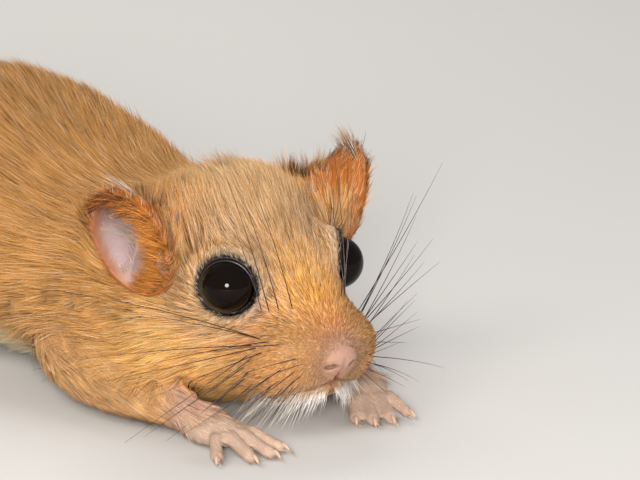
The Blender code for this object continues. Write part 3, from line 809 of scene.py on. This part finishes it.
def lie_of_coat(points, normals, shares):
    """The way the hair lies at each point of the skin."""
    side, back, up = to_head(points).T
    flow = np.tile((0.0, 1.0, -0.08), (len(points), 1))
    flow[:, 0] = 0.12 * np.sign(points[:, 0])
    from_nose = unit(points - in_head(0, 0.5, 0.5))
    from_nose[:, 2] -= 0.45 * ramp(abs(side), 4, 9) * ramp(-up, -3, 3)
    from_nose[:, 2] += 1.5 * ramp(abs(side), 2.5, 6.5) * ramp(up, -1, 3) * ramp(back, 6, 10)
    from_nose[:, 0] -= 0.45 * np.sign(side) * ramp(abs(side), 1, 5) * ramp(up, 3, 7) * ramp(back, 7, 11)
    away, out = near_eye(points)
    from_nose += out * (1.2 * ramp(-away, -4.4, -2.5))[:, None]
    head = share_of(shares, "head")[:, None]
    flow = flow * (1 - head) + from_nose * head
    forward = sum(share_of(shares, start) for start in ("foreleg", "forepaw", "hindfoot"))[:, None]
    flow = flow * (1 - forward) + np.array((0.0, -1.0, -0.25)) * forward
    thigh = share_of(shares, "thigh")[:, None]
    flow = flow * (1 - thigh) + np.array((0.0, 0.8, -0.6)) * thigh
    for word in SIDES:
        own = shares[:, NAMES.index("ear_" + word)][:, None]
        rise = unit(points - centre_of("ear_" + word)) * 0.8 + unit(in_head(0, 0.22, 0.93) - NOSE)
        flow = flow * (1 - own) + rise * own
    tail = share_of(shares, "tail") > 0.02
    heading = TAIL.heading[nearest_on_tail(points[tail])]
    along = np.stack([np.sin(heading), np.cos(heading), np.zeros_like(heading)], -1)
    amount = share_of(shares, "tail")[tail][:, None]
    flow[tail] = flow[tail] * (1 - amount) + along * amount
    flow -= (flow * normals).sum(-1, keepdims=True) * normals
    return unit(flow)


Look = namedtuple("Look", "length depth width density root pale")


# Length and width of the hair in millimetres, and hairs to a square millimetre, away from head and body
HAIR = {"ear": (1.1, 0.04, 45), "paw": (1.0, 0.035, 22), "leg": (3.0, 0.07, 60), "tail": (8.5, 0.12, 28)}
BODY_LENGTH, BODY_WIDTH, BODY_DENSITY = 5.4, 0.11, 16
FORE = 2.2  # how much denser the body's coat is at the shoulders


def coat_look(points, shares):
    """Length, depth and width of the hair in millimetres, hairs to a square millimetre, how dark their roots
    are (partly their own darker base, partly painted shade deep in the coat) and how many are pale."""
    _, back, up = to_head(points).T
    away, _ = near_eye(points)
    head, paw = share_of(shares, "head"), share_of(shares, "forepaw") + share_of(shares, "hindfoot")
    parts = {"ear": share_of(shares, "ear"), "paw": paw}
    parts.update(leg=share_of(shares, "foreleg"), tail=share_of(shares, "tail"))
    body = np.clip(1 - head - sum(parts.values()), 0, 1)
    face_length = 0.35 + 3.0 * ramp(back, 0.8, 12.0)
    length = (0.5 + (face_length - 0.5) * ramp(away, 2.4, 4.2)) * head
    width = (0.075 - 0.035 * ramp(-back, -5.0, -1.0)) * head
    density = (200 - 80 * ramp(back, 2.0, 14.0)) * head
    for name, share in parts.items():
        length += HAIR[name][0] * share
        width += HAIR[name][1] * share
        density += HAIR[name][2] * share
    front = ramp(-points[:, 1], -5, 15)
    length += BODY_LENGTH * body
    width += (BODY_WIDTH - 0.03 * front) * body
    density += BODY_DENSITY * (1 + FORE * front) * body
    tail = parts["tail"] > 0.5
    depth = coat_depth(points, shares)
    depth[tail] = (TAIL.reach - TAIL.core - 0.2)[nearest_on_tail(points[tail])]
    depth = np.maximum(depth, 0.10) + 0.12 * head
    wrist = near_wrist(points) * parts["leg"]
    pad = size_of((to_head(points) - (0, 0.3, -0.6)) / (1.35, 1.2, 1.1))
    density *= 1 - 0.55 * wrist
    density *= 1 - ramp(-pad, -1.45, -1.15) * head
    density *= ramp(away, 2.24, 2.36)
    # Darker roots: partly the hairs' own darker base, partly painted shade deep in the coat
    root = 0.28 + 0.59 * (parts["ear"] + paw) + 0.4 * wrist
    pale = 0.12 + 0.8 * paw + 0.15 * parts["ear"]
    pale += head * (0.12 * bell((away - 4.5) / 2.5) + 0.2 * ramp(up, 4, 8))
    return Look(length, depth, width, density, root, pale)


def sow(surface, weight, count, random):
    """Roots spread over the skin: a triangle for each and the shares of its corners."""
    corners = surface.points[surface.triangles]
    area = size_of(np.cross(corners[:, 1] - corners[:, 0], corners[:, 2] - corners[:, 0])) / 2
    chance = area * weight[surface.triangles].mean(axis=1)
    picked = np.searchsorted(np.cumsum(chance) / chance.sum(), random.random(count))
    picked = np.minimum(picked, len(chance) - 1)
    a, b = random.random(count), random.random(count)
    flip = a + b > 1
    a[flip], b[flip] = 1 - a[flip], 1 - b[flip]
    return picked, np.stack([1 - a - b, a, b], -1)


def turned(vectors, normals, angles):
    across = np.cross(normals, vectors)
    return vectors * np.cos(angles)[:, None] + across * np.sin(angles)[:, None]


def nearest_guide(root, guides):
    """For each root, which of the guides' roots is the nearest."""
    tree = KDTree(len(guides))
    for k, index in enumerate(guides):
        tree.insert(root[index], k)
    tree.balance()
    return guides[[tree.find(p)[1] for p in root]]


GUARD_SHARE, DARK_SHARE = 0.04, 0.09  # of all hairs: the longer ones, and the dark ones
GUARD_LENGTH, GUARD_HEIGHT = 1.25, 1.4  # of the other hairs'
Hairs = namedtuple("Hairs", "root middle tip normal tip_normal across width colour dark owner")
# How many hairs, with a bend or without, how many to a tuft, how far they draw together and stray
Layer = namedtuple("Layer", "count long_hair tuft clump stray slot")
LAYERS = {
    "fur_short": Layer(150000, False, 7, 0.55, 0.12, "coat"),
    "fur_body": Layer(140000, False, 8, 0.6, 0.12, "coat"),
    "fur_tail": Layer(18000, True, 12, 0.8, 0.36, "tail_coat"),
}


class Coat:
    """Everything that is known at each point of the skin, and the growing of hair on it."""

    def __init__(self, surface, shares, random):
        self.surface, self.shares, self.random = surface, shares, random
        self.normal = unit(surface.spread(surface.normals(), 3))
        self.flow = lie_of_coat(surface.points, self.normal, shares)
        self.flow = unit(surface.spread(self.flow, 12))
        self.look = coat_look(surface.points, shares)
        self.colour = markings_and_shading(surface.points, shares, self.normal)
        self.thin = sum(share_of(shares, start) for start in ("ear", "forepaw", "hindfoot"))
        self.tree = BVHTree.FromPolygons(surface.points.tolist(), surface.triangles.tolist())

    def above(self, places, height):
        """Points at a height over the skin, nearest to places, and the skin's normal and flow there."""
        found = [self.tree.find_nearest(Vector(p)) for p in places]
        foot = np.array([hit[0] for hit in found])
        corner = self.surface.triangles[[hit[2] for hit in found], 0]
        normal, flow = self.normal[corner], self.flow[corner]
        return foot + normal * height[:, None], normal, flow

    def lay(self, root, normal, flow, length, depth, thin, layer):
        """How hairs lie over the skin from their roots: middle, tip, and the skin's normal at the tip."""
        half = length[:, None] * 0.5
        if layer.long_hair:
            middle, middle_normal, middle_flow = self.above(root + flow * half, depth * 0.62)
            onward = turned(middle_flow, middle_normal, self.random.normal(0, layer.stray, len(root)))
            tip, tip_normal, _ = self.above(middle + onward * half, depth)
            return middle, tip, tip_normal
        tip, tip_normal, _ = self.above(root + flow * half * 2, depth)
        astray = (tip_normal * normal).sum(-1) < 0.5
        free = (astray | (thin > 0.3))[:, None]
        tip = np.where(free, root + flow * half * 2 + normal * depth[:, None], tip)
        return (root + tip) / 2, tip, np.where(free, normal, tip_normal)

    def grow(self, weight, layer, count):
        """Hairs, in tufts that draw together at their tips; here() gives a value at the hairs' roots."""
        random = self.random
        picked, parts = sow(self.surface, weight * self.look.density, count, random)

        def here(values):
            own_parts = parts[..., None] if values.ndim == 2 else parts
            return (values[self.surface.triangles[picked]] * own_parts).sum(1)

        root = here(self.surface.points)
        normal = unit(here(self.normal))
        flow = turned(unit(here(self.flow)), normal, random.normal(0, layer.stray, count))
        length = here(self.look.length) * random.uniform(0.72, 1.15, count)
        width = here(self.look.width) * random.uniform(0.75, 1.25, count)
        colour = here(self.colour)
        own = nearest_guide(root, np.arange(0, count, layer.tuft))
        tall = random.uniform(0.4, 1.15, count)
        tall = 0.55 * tall[own] + 0.45 * tall
        guard = random.random(count) < GUARD_SHARE
        length[guard] *= GUARD_LENGTH
        tall[guard] *= GUARD_HEIGHT
        depth = here(self.look.depth) * tall
        middle, tip, tip_normal = self.lay(root, normal, flow, length, depth, here(self.thin), layer)
        pull = (layer.clump * random.uniform(0.5, 1.0, count))[:, None]
        tip = tip + (tip[own] - tip) * pull
        middle = middle + (middle[own] - middle) * pull * 0.35
        shade = random.normal(1.0, 0.16, count) * random.normal(1.0, 0.14, count)[own]
        # Lower tufts are painted darker and taller ones lighter: painted shade for the coat's depth, over a
        # random shade
        base = colour * np.clip(shade * (0.28 + 0.88 * tall), 0.4, 1.6)[:, None]
        pale = random.random(count) < here(self.look.pale)
        base[pale] = base[pale] * 0.55 + np.array(PALE_HAIR) * 0.45
        dark = (random.random(count) < DARK_SHARE) & ~pale
        base[dark] *= 0.35
        root_shade = here(self.look.root)
        root = root - normal * 0.06
        across = unit(np.cross(tip - root, normal))
        for points in (root, middle, tip):
            points[:, 2] = np.maximum(points[:, 2], HAIR_CLEARANCE + width)
        owner = self.shares[self.surface.triangles[picked, 0]].argmax(1)
        return Hairs(root, middle, tip, normal, tip_normal, across, width, base, root_shade, owner)


# A hair's triangular section, as shares of its width: to either side, down and up
ASIDE, DOWN, UPWARD = 0.5, 0.3, 0.4
BEND_WIDTH = 0.85  # of its width at the root
TIP_SHADE = 1.3
ROUNDNESS = 0.7
PATCH = 0.003  # the side of a hair's patch in the bake's map
MARGIN = 0.01
PIECE_TRIANGLES = 180000


def hair_faces(long_hair):
    """Triangles of one hair, and the place of each corner in its patch of the bake's map."""
    triangles, places = [(0, 2, 1)], [((0.0, 0.0), (0.3, 0.0), (0.15, 0.2))]
    for k in range(3):
        n = (k + 1) % 3
        left, right = k / 3, (k + 1) / 3
        if long_hair:
            triangles += [(k, n, 3 + n), (k, 3 + n, 3 + k), (3 + k, 3 + n, 6)]
            places.append(((left, 0.3), (right, 0.3), (right, 0.65)))
            places.append(((left, 0.3), (right, 0.65), (left, 0.65)))
            places.append(((left, 0.65), (right, 0.65), ((left + right) / 2, 1.0)))
        else:
            triangles.append((k, n, 3))
            places.append(((left, 0.3), (right, 0.3), ((left + right) / 2, 1.0)))
    return np.array(triangles), np.array(places) * PATCH


def rectangle_of(name):
    """A node's rectangle in the unwrap, as its corner and size."""
    if name == "head":
        return (0.0, 0.5), (0.5, 0.5)
    if name in TRUNK:
        j = TRUNK.index(name)
        return (0.5 + 0.25 * (j % 2), 0.5 + 0.25 * (j // 2)), (0.25, 0.25)
    j = [n for n in NAMES if n != "head" and n not in TRUNK].index(name)
    return ((j % 6) / 6, 0.25 * (j // 6)), (1 / 6, 0.25)


def unwrapped(points, owners):
    """Each place on an unwrap of the skin: every part has its own rectangle, round and along."""
    out = np.zeros((len(points), 2))
    for k in np.unique(owners):
        mine = owners == k
        here = points[mine]
        low, high = here.min(0), here.max(0)
        q = here - (low + high) / 2
        across = q[:, 0]
        along = (here[:, 1] - low[1]) / max(high[1] - low[1], 1e-6)
        if NAMES[k] == "tail":
            nearest = nearest_on_tail(here)
            q = here - TAIL.place[nearest]
            across = np.hypot(q[:, 0], q[:, 1]) * np.sign(q[:, 0])
            along = TAIL.share[nearest]
        angle = np.arctan2(across, q[:, 2]) / (2 * math.pi) + 0.5
        corner, size = rectangle_of(NAMES[k])
        out[mine, 0] = corner[0] + MARGIN + angle * (size[0] - 2 * MARGIN)
        out[mine, 1] = corner[1] + MARGIN + along * (size[1] - 2 * MARGIN)
    return out


def dressed(name, mesh, look, slot):
    """A mesh as a piece of the scene."""
    mesh.materials.append(look)
    piece = new_object(name, mesh)
    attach(piece, "root")
    return piece


def hair_piece(name, hairs, long_hair, look, slot, lift=0.6):
    """Closed, tapered hairs as one mesh, shaded by their own roundness and by lift of the skin's normal."""
    count = len(hairs.root)
    width = hairs.width[:, None]
    down = hairs.normal * width * DOWN
    half = hairs.across * width * ASIDE
    ring = [half - down, -half - down, hairs.normal * width * UPWARD]
    rows = [hairs.root + offset for offset in ring]
    # The roots are darkened: partly the hairs' own darker base, partly painted shade deep in the coat
    tones = [hairs.colour * hairs.dark[:, None]] * 3
    if long_hair:
        rows += [hairs.middle + offset * BEND_WIDTH for offset in ring]
        tones += [hairs.colour] * 3
    rows.append(hairs.tip)
    tones.append(hairs.colour * TIP_SHADE)
    points = np.stack(rows, 1)
    colours = np.clip(np.stack(tones, 1), 0, 1)
    per = points.shape[1]
    outward = [unit(offset) for offset in ring] * (2 if long_hair else 1) + [hairs.tip_normal]
    base = np.stack([hairs.normal + hairs.tip_normal] * (per - 1) + [hairs.tip_normal * 2], 1) / 2
    normals = unit(np.stack(outward, 1) * ROUNDNESS + base * lift)
    triangles, places = hair_faces(long_hair)
    faces = (np.arange(count)[:, None, None] * per + triangles).reshape(-1)
    mesh = bpy.data.meshes.new(name)
    mesh.vertices.add(count * per)
    mesh.vertices.foreach_set("co", (points * MM).ravel())
    mesh.loops.add(len(faces))
    mesh.loops.foreach_set("vertex_index", faces)
    mesh.polygons.add(len(faces) // 3)
    mesh.polygons.foreach_set("loop_start", np.arange(0, len(faces), 3))
    mesh.update(calc_edges=True)
    paint(mesh, colours.reshape(-1, 3))
    layer = mesh.uv_layers.new(name="OFBake")
    where = unwrapped(hairs.root, hairs.owner)[:, None, None] + places[None]
    layer.data.foreach_set("uv", where.ravel())
    mesh.normals_split_custom_set_from_vertices(normals.reshape(-1, 3).tolist())
    dressed(name, mesh, look, slot)


def hair_pieces(name, hairs, layer, look):
    """The hairs in as many meshes as their triangles need."""
    most = PIECE_TRIANGLES // (10 if layer.long_hair else 4)
    order = np.argsort(hairs.root[:, 1] + 0.37 * hairs.root[:, 0], kind="stable")
    for number, part in enumerate(np.array_split(order, math.ceil(len(order) / most))):
        own = Hairs(*[field[part] for field in hairs])
        hair_piece(f"{name}_{number + 1}", own, layer.long_hair, look, layer.slot)


def make_coat(surface, shares, look):
    coat = Coat(surface, shares, np.random.default_rng(SEED))
    tail = share_of(shares, "tail")
    paw = share_of(shares, "forepaw") + share_of(shares, "hindfoot")
    short = share_of(shares, "head") + share_of(shares, "ear") + paw
    rest = np.clip(1 - tail - short, 0, 1)
    weights = (ramp(short, 0.1, 0.5), ramp(rest, 0.1, 0.5), ramp(tail, 0.08, 0.3))
    for (name, layer), weight in zip(LAYERS.items(), weights):
        count = int(layer.count * (1.0))
        hair_pieces(name, coat.grow(weight, layer, count), layer, look)
    return coat


# Eyes


def bmesh_piece(name, bm, look, slot):
    """A bmesh in metres as a smooth piece of the scene."""
    mesh = bpy.data.meshes.new(name)
    bm.to_mesh(mesh)
    bm.free()
    mesh.shade_smooth()
    return dressed(name, mesh, look, slot)


def make_eyes():
    look = eye_material()
    for word in SIDES:
        bm = bmesh.new()
        bmesh.ops.create_uvsphere(bm, u_segments=96, v_segments=48, radius=EYE_RADIUS * MM)
        bmesh.ops.translate(bm, vec=Vector(centre_of("eye_" + word)) * MM, verts=bm.verts)
        eye = bmesh_piece("eyeball_" + word, bm, look, "eye")
        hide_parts("eye_" + word)


def make_lids():
    """The bare dark edge of the lids round each eye, with wet beads in the corner towards the nose."""
    look = horn_material("lid_edge", LID, 0.3)
    wet = horn_material("tear_corner", TEAR, 0.12)
    for (centre, way), word in zip(eye_frames(), SIDES):
        ring = lid_ring(centre, way, LID_AHEAD, 0.0, 72)
        bmesh_piece("lid_" + word, closed_tube(ring, 0.13, 10), look, "bare_skin")
        corner = np.argsort(-size_of(ring - centre))[[0, 1, 3]]
        beads = bmesh.new()
        for spot in lid_ring(centre, way, LID_AHEAD - 0.1, 0.0, 72)[corner]:
            place = Matrix.Translation(Vector(spot) * MM)
            bmesh.ops.create_icosphere(beads, subdivisions=2, radius=0.15 * MM, matrix=place)
        bmesh_piece("tear_" + word, beads, wet, "bare_skin")


# Whiskers, single hairs and claws


def bend(start, way, pull, length, count):
    """Points along a whisker that leaves start one way and is pulled another as it goes."""
    t = np.linspace(0, 1, count)[:, None]
    return start + length * (unit(way) * t + np.asarray(pull) * t**2)


def off_the_floor(points):
    """The same curve, flattened just enough to stay above the floor."""
    lowest = points[:, 2].min()
    if lowest < WHISKER_CLEARANCE:
        start = points[0, 2]
        points[:, 2] = start + (points[:, 2] - start) * (start - WHISKER_CLEARANCE) / (start - lowest)
    return points


def make_whiskers(coat):
    random = np.random.default_rng(SEED + 1)
    dark, pale = bmesh.new(), bmesh.new()
    for side in (-1, 1):
        for number, (out, back, up) in enumerate(whisker_roots()):
            row, column = divmod(number, WHISKERS_PER_ROW)
            hit = coat.tree.find_nearest(Vector(in_head(side * out, back, up)))
            root = np.array(hit[0]) - np.array(hit[1]) * 0.15
            rise = WHISKER_RISE[side][row] + 0.10 * (column - 3) + random.normal(0, 0.08)
            backward = 0.02 + 0.07 * column + random.normal(0, 0.10)
            way = in_head(side * 0.9, backward, rise) - NOSE
            pull = in_head(0, 0.10, -0.10 + random.normal(0, 0.05)) - NOSE
            length = (5.0 + 2.0 * column) * WHISKER_LENGTH[side][row] * random.uniform(0.85, 1.15)
            radii = np.linspace(0.042, 0.008, WHISKER_POINTS) * (0.85 + 0.06 * column)
            points = off_the_floor(bend(root, way, pull, length, WHISKER_POINTS))
            add_tube(pale if row == WHISKER_ROWS - 1 and column < 4 else dark, points, radii, 5)
        for k in range(BROW_WHISKERS):
            place = in_head(side * (3.4 - 0.5 * k), 5.6 - 0.3 * k, 1.2 + 0.1 * k)
            hit = coat.tree.find_nearest(Vector(place))
            way = in_head(side * (0.12 + 0.05 * k), 0.55 - 0.1 * k, 1.0) - NOSE
            points = bend(np.array(hit[0]), way, (0.0, 0.12, 0.0), random.uniform(9, 14), WHISKER_POINTS)
            add_tube(dark, points, np.linspace(0.045, 0.01, WHISKER_POINTS), 5)
    bmesh_piece("whiskers_dark", dark, horn_material("whisker", WHISKER, 0.3), "coat")
    bmesh_piece("whiskers_pale", pale, horn_material("whisker_pale", WHISKER_PALE, 0.35), "coat")


def planted(coat, places, ways, lengths, width, colours, droop=(0, 0, 0), facing=None, dark=0.7):
    """Single hairs on the skin nearest to places, each leaving its own way; dark is how far the
    roots are darkened, partly their own darker base and partly painted shade.
    """
    hits = [coat.tree.find_nearest(Vector(p)) for p in places]
    foot = np.array([hit[0] for hit in hits])
    normal = np.array([hit[1] for hit in hits])
    owners = coat.shares[coat.surface.triangles[[hit[2] for hit in hits], 0]].argmax(1)
    reach = unit(ways) * lengths[:, None]
    droop = np.array(droop) * lengths[:, None]
    root = foot - normal * 0.08
    middle = root + reach * 0.5 + droop * 0.25
    tip = root + reach + droop
    for points in (root, middle, tip):
        points[:, 2] = np.maximum(points[:, 2], SINGLE_CLEARANCE + width)
    if facing is not None:
        normal = unit(np.broadcast_to(facing, normal.shape))
    across = unit(np.cross(tip - root, normal))
    widths, darks = np.full(len(root), width), np.full(len(root), dark)
    return Hairs(root, middle, tip, normal, normal, across, widths, colours, darks, owners)


# How many single hairs of each kind, to an eye or ear where there are two, and their width
SINGLE = {"lip": (420, 0.034), "lash": (240, 0.03), "guard": (1500, 0.045)}
SINGLE.update(rim=(3200, 0.055), cup=(500, 0.045))


def lip_hairs(coat, random):
    """White hairs along the upper lip and chin, hanging over the mouth."""
    count, width = SINGLE["lip"]
    side = random.choice((-1, 1), count)
    share = random.random(count)
    up = -3.2 - 1.2 * share + random.normal(0, 0.3, count)
    places = in_head(side * (0.3 + 4.8 * share), 0.5 + 3.8 * share**1.4, up)
    outward = side * random.uniform(0.2, 0.9, count)
    ways = in_head(outward, -0.5 + 0.5 * share, random.uniform(-1.0, -0.5, count)) - NOSE
    lengths = random.uniform(0.6, 2.0, count) * (0.8 + 1.2 * share)
    colours = np.array(PALE_LIP) * random.uniform(0.7, 1.1, count)[:, None]
    return planted(coat, places, ways, lengths, width, colours, in_head(0, 0.3, -0.4) - NOSE)


def rim_hairs(coat, random, side):
    """The orange fringe that sweeps over the front rim of an ear."""
    count, width = SINGLE["rim"]
    around = np.radians(random.uniform(-80, 130, count))
    inset = random.uniform(0.84, 1.02, count)
    out = random.normal(-0.1, 0.3, count)
    upper = ramp(around, 0.4, 1.3)
    inset *= 1 - 0.25 * upper * random.random(count)
    spots = np.column_stack([np.cos(around) * EAR_WIDE * inset, np.sin(around) * EAR_TALL * inset, out])
    across, rise = random.normal(-0.8, 0.2, count), random.normal(0.5, 0.2, count) - 0.6 * upper
    ways = np.column_stack([across, rise, random.uniform(0.0, 0.55, count)])
    clump = 1 + 0.3 * np.sin(around * 23 + 9 * inset) * np.sin(around * 41 + 2)
    # Inner and upper fringe hairs: partly rusty red, partly painted shade at the cup and under the rim
    rust_and_shade = ramp(-inset, -0.93, -0.78) + upper * (random.random(count) < 0.75)
    colours = mixed(np.tile(EAR_FRINGE, (count, 1)), EAR_RUST_AND_SHADE, rust_and_shade * 0.85)
    colours = colours * (clump * random.uniform(0.45, 1.25, count))[:, None]
    lengths = random.uniform(1.1, 3.0, count) * (0.6 + 0.4 * ramp(np.cos(around), -0.2, 0.6))
    facing = np.column_stack([np.cos(around), np.sin(around), np.full(count, 0.6)]) @ ear_axes(side)
    ways = ways @ ear_axes(side)
    return planted(coat, in_ear(side, spots), ways, lengths, width, colours, facing=facing, dark=0.3)


def cup_hairs(coat, random, side):
    """The paler hairs in an ear's cup."""
    count, width = SINGLE["cup"]
    across, rise = random.uniform(-2.2, 2.6, count), random.uniform(-1.0, 4.0, count)
    spots = np.column_stack([across, rise, np.full(count, -1.8)])
    across, rise = random.normal(-0.3, 0.3, count), random.normal(0.7, 0.2, count)
    ways = np.column_stack([across, rise, random.uniform(0.2, 0.7, count)]) @ ear_axes(side)
    colours = np.array(EAR_INNER) * random.uniform(0.5, 1.2, count)[:, None]
    lengths = random.uniform(0.9, 2.2, count)
    return planted(coat, in_ear(side, spots), ways, lengths, width, colours, facing=ear_axes(side)[2])


def lashes(coat, random, centre, look):
    """Short dark hairs round an eye's lids."""
    count, width = SINGLE["lash"]
    ring = lid_ring(centre, look, LID_AHEAD - 0.05, 0.12, count)
    out = unit(ring - ring.mean(0))
    ways = out + look * random.uniform(0.1, 0.5, count)[:, None] + random.normal(0, 0.2, (count, 3))
    colours = np.array(LID) * random.uniform(2.0, 9.0, count)[:, None]
    return planted(coat, ring, ways, random.uniform(0.1, 0.5, count), width, colours)


def guard_hairs(coat, random):
    """Longer silvery and dark hairs that stand out of the crown, and lie along the nape and back."""
    count, width = SINGLE["guard"]
    back = np.concatenate([random.uniform(7, 19, count // 2), random.uniform(19, 60, count // 2)])
    across = random.normal(0, 4, count)
    places = in_head(across, back, 24 - 0.3 * abs(across))
    rise = 0.75 - 0.6 * ramp(back, 16, 24)
    ways = np.column_stack([across * 0.06, np.ones(count), rise]) + random.normal(0, 0.1, (count, 3))
    shade = random.random(count)[:, None]
    # The pale ones are lightened past their own silver, a painted glint
    colours = np.where(shade < 0.55, GUARD_PALE_AND_GLINT, GUARD_DARK) * (0.6 + shade)
    colours = mixed(colours, BACK, 0.85 * ramp(back, 11, 19))
    lengths = random.uniform(1.8, 3.4, count) + 0.045 * back
    return planted(coat, places, ways, lengths, width, colours, (0.0, 0.1, -0.12), dark=0.5)


def make_single_hairs(coat, look):
    random = np.random.default_rng(SEED + 2)
    parts = [lip_hairs(coat, random)]
    parts += [lashes(coat, random, *eye) for eye in eye_frames()]
    parts.append(guard_hairs(coat, random))
    for side in SIDES.values():
        parts += [rim_hairs(coat, random, side), cup_hairs(coat, random, side)]
    hairs = Hairs(*[np.concatenate(fields) for fields in zip(*parts)])
    hair_piece("fur_single", hairs, True, look, "coat", 0.25)


# Each digit's place across the paw, turn in degrees and length
FINGERS = ((-1.35, -14, 4.0), (-0.45, -3, 4.7), (0.55, 9, 4.5), (1.35, 40, 3.5))
TOES = ((-1.5, -20, 3.0), (-0.8, -8, 4.2), (0.1, 1, 4.6), (0.9, 10, 4.3), (1.6, 26, 3.2))
FINGERS_AHEAD, TOES_AHEAD = 3.8, 11.7  # where the digits start, from the wrist or heel
HEEL = (13.2, 58.0)
HINDFOOT_HEADING = math.radians(9)
# Points of a claw's middle line: how far past the digit's tip, how high, and the claw's radius
HOOK = ((-0.3, 0.84, 0.13), (0.1, 0.84, 0.17), (0.35, 0.72, 0.15), (0.58, 0.52, 0.10), (0.72, 0.3, 0.03))


def ahead_of(heading):
    return np.array((math.sin(heading), -math.cos(heading), 0.0))


def digit_tips():
    """The tip of each finger and toe, and the way it points."""
    for side in (-1, 1):
        across, behind, heading, spread = WRIST[side]
        feet = [(across, behind, side * heading, spread, FINGERS, FINGERS_AHEAD)]
        feet.append((side * HEEL[0], HEEL[1], side * HINDFOOT_HEADING, 1.0, TOES, TOES_AHEAD))
        for across, behind, heading, spread, digits, run in feet:
            forward = ahead_of(heading)
            right = np.array((-forward[1], forward[0], 0.0))
            start = np.array((across, NOSE[1] + behind, 0.0)) + forward * run
            for aside, turn, length in digits:
                way = ahead_of(heading + side * spread * math.radians(turn))
                yield start + right * side * aside + way * length, way


def make_claws():
    bm = bmesh.new()
    for tip, way in digit_tips():
        points = np.array([tip + way * run + (0, 0, height) for run, height, _ in HOOK])
        add_tube(bm, points, [radius for _, _, radius in HOOK], 10)
    bmesh_piece("claws", bm, horn_material("claw", CLAW, 0.3), "bare_skin")


def main():
    bpy.context.scene.view_settings.view_transform = "Standard"
    make_studio(*make_view())
    skin, surface, shares = make_skin()
    hair = coat_material()
    coat = make_coat(surface, shares, hair)
    bare = bareness(surface.points, shares)[:, None]
    # The skin under the coat is painted darker, a painted shade between the hairs; bare skin keeps full
    # colour
    paint(skin.data, coat.colour * (SHADE_UNDER_COAT + (1 - SHADE_UNDER_COAT) * bare))
    skin.data.materials.append(skin_material())
    skin.data.shade_smooth()
    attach(skin, "root")
    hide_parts(*[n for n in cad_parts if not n.startswith("eye")])
    make_eyes()
    make_lids()
    make_whiskers(coat)
    make_single_hairs(coat, hair)
    make_claws()


main()
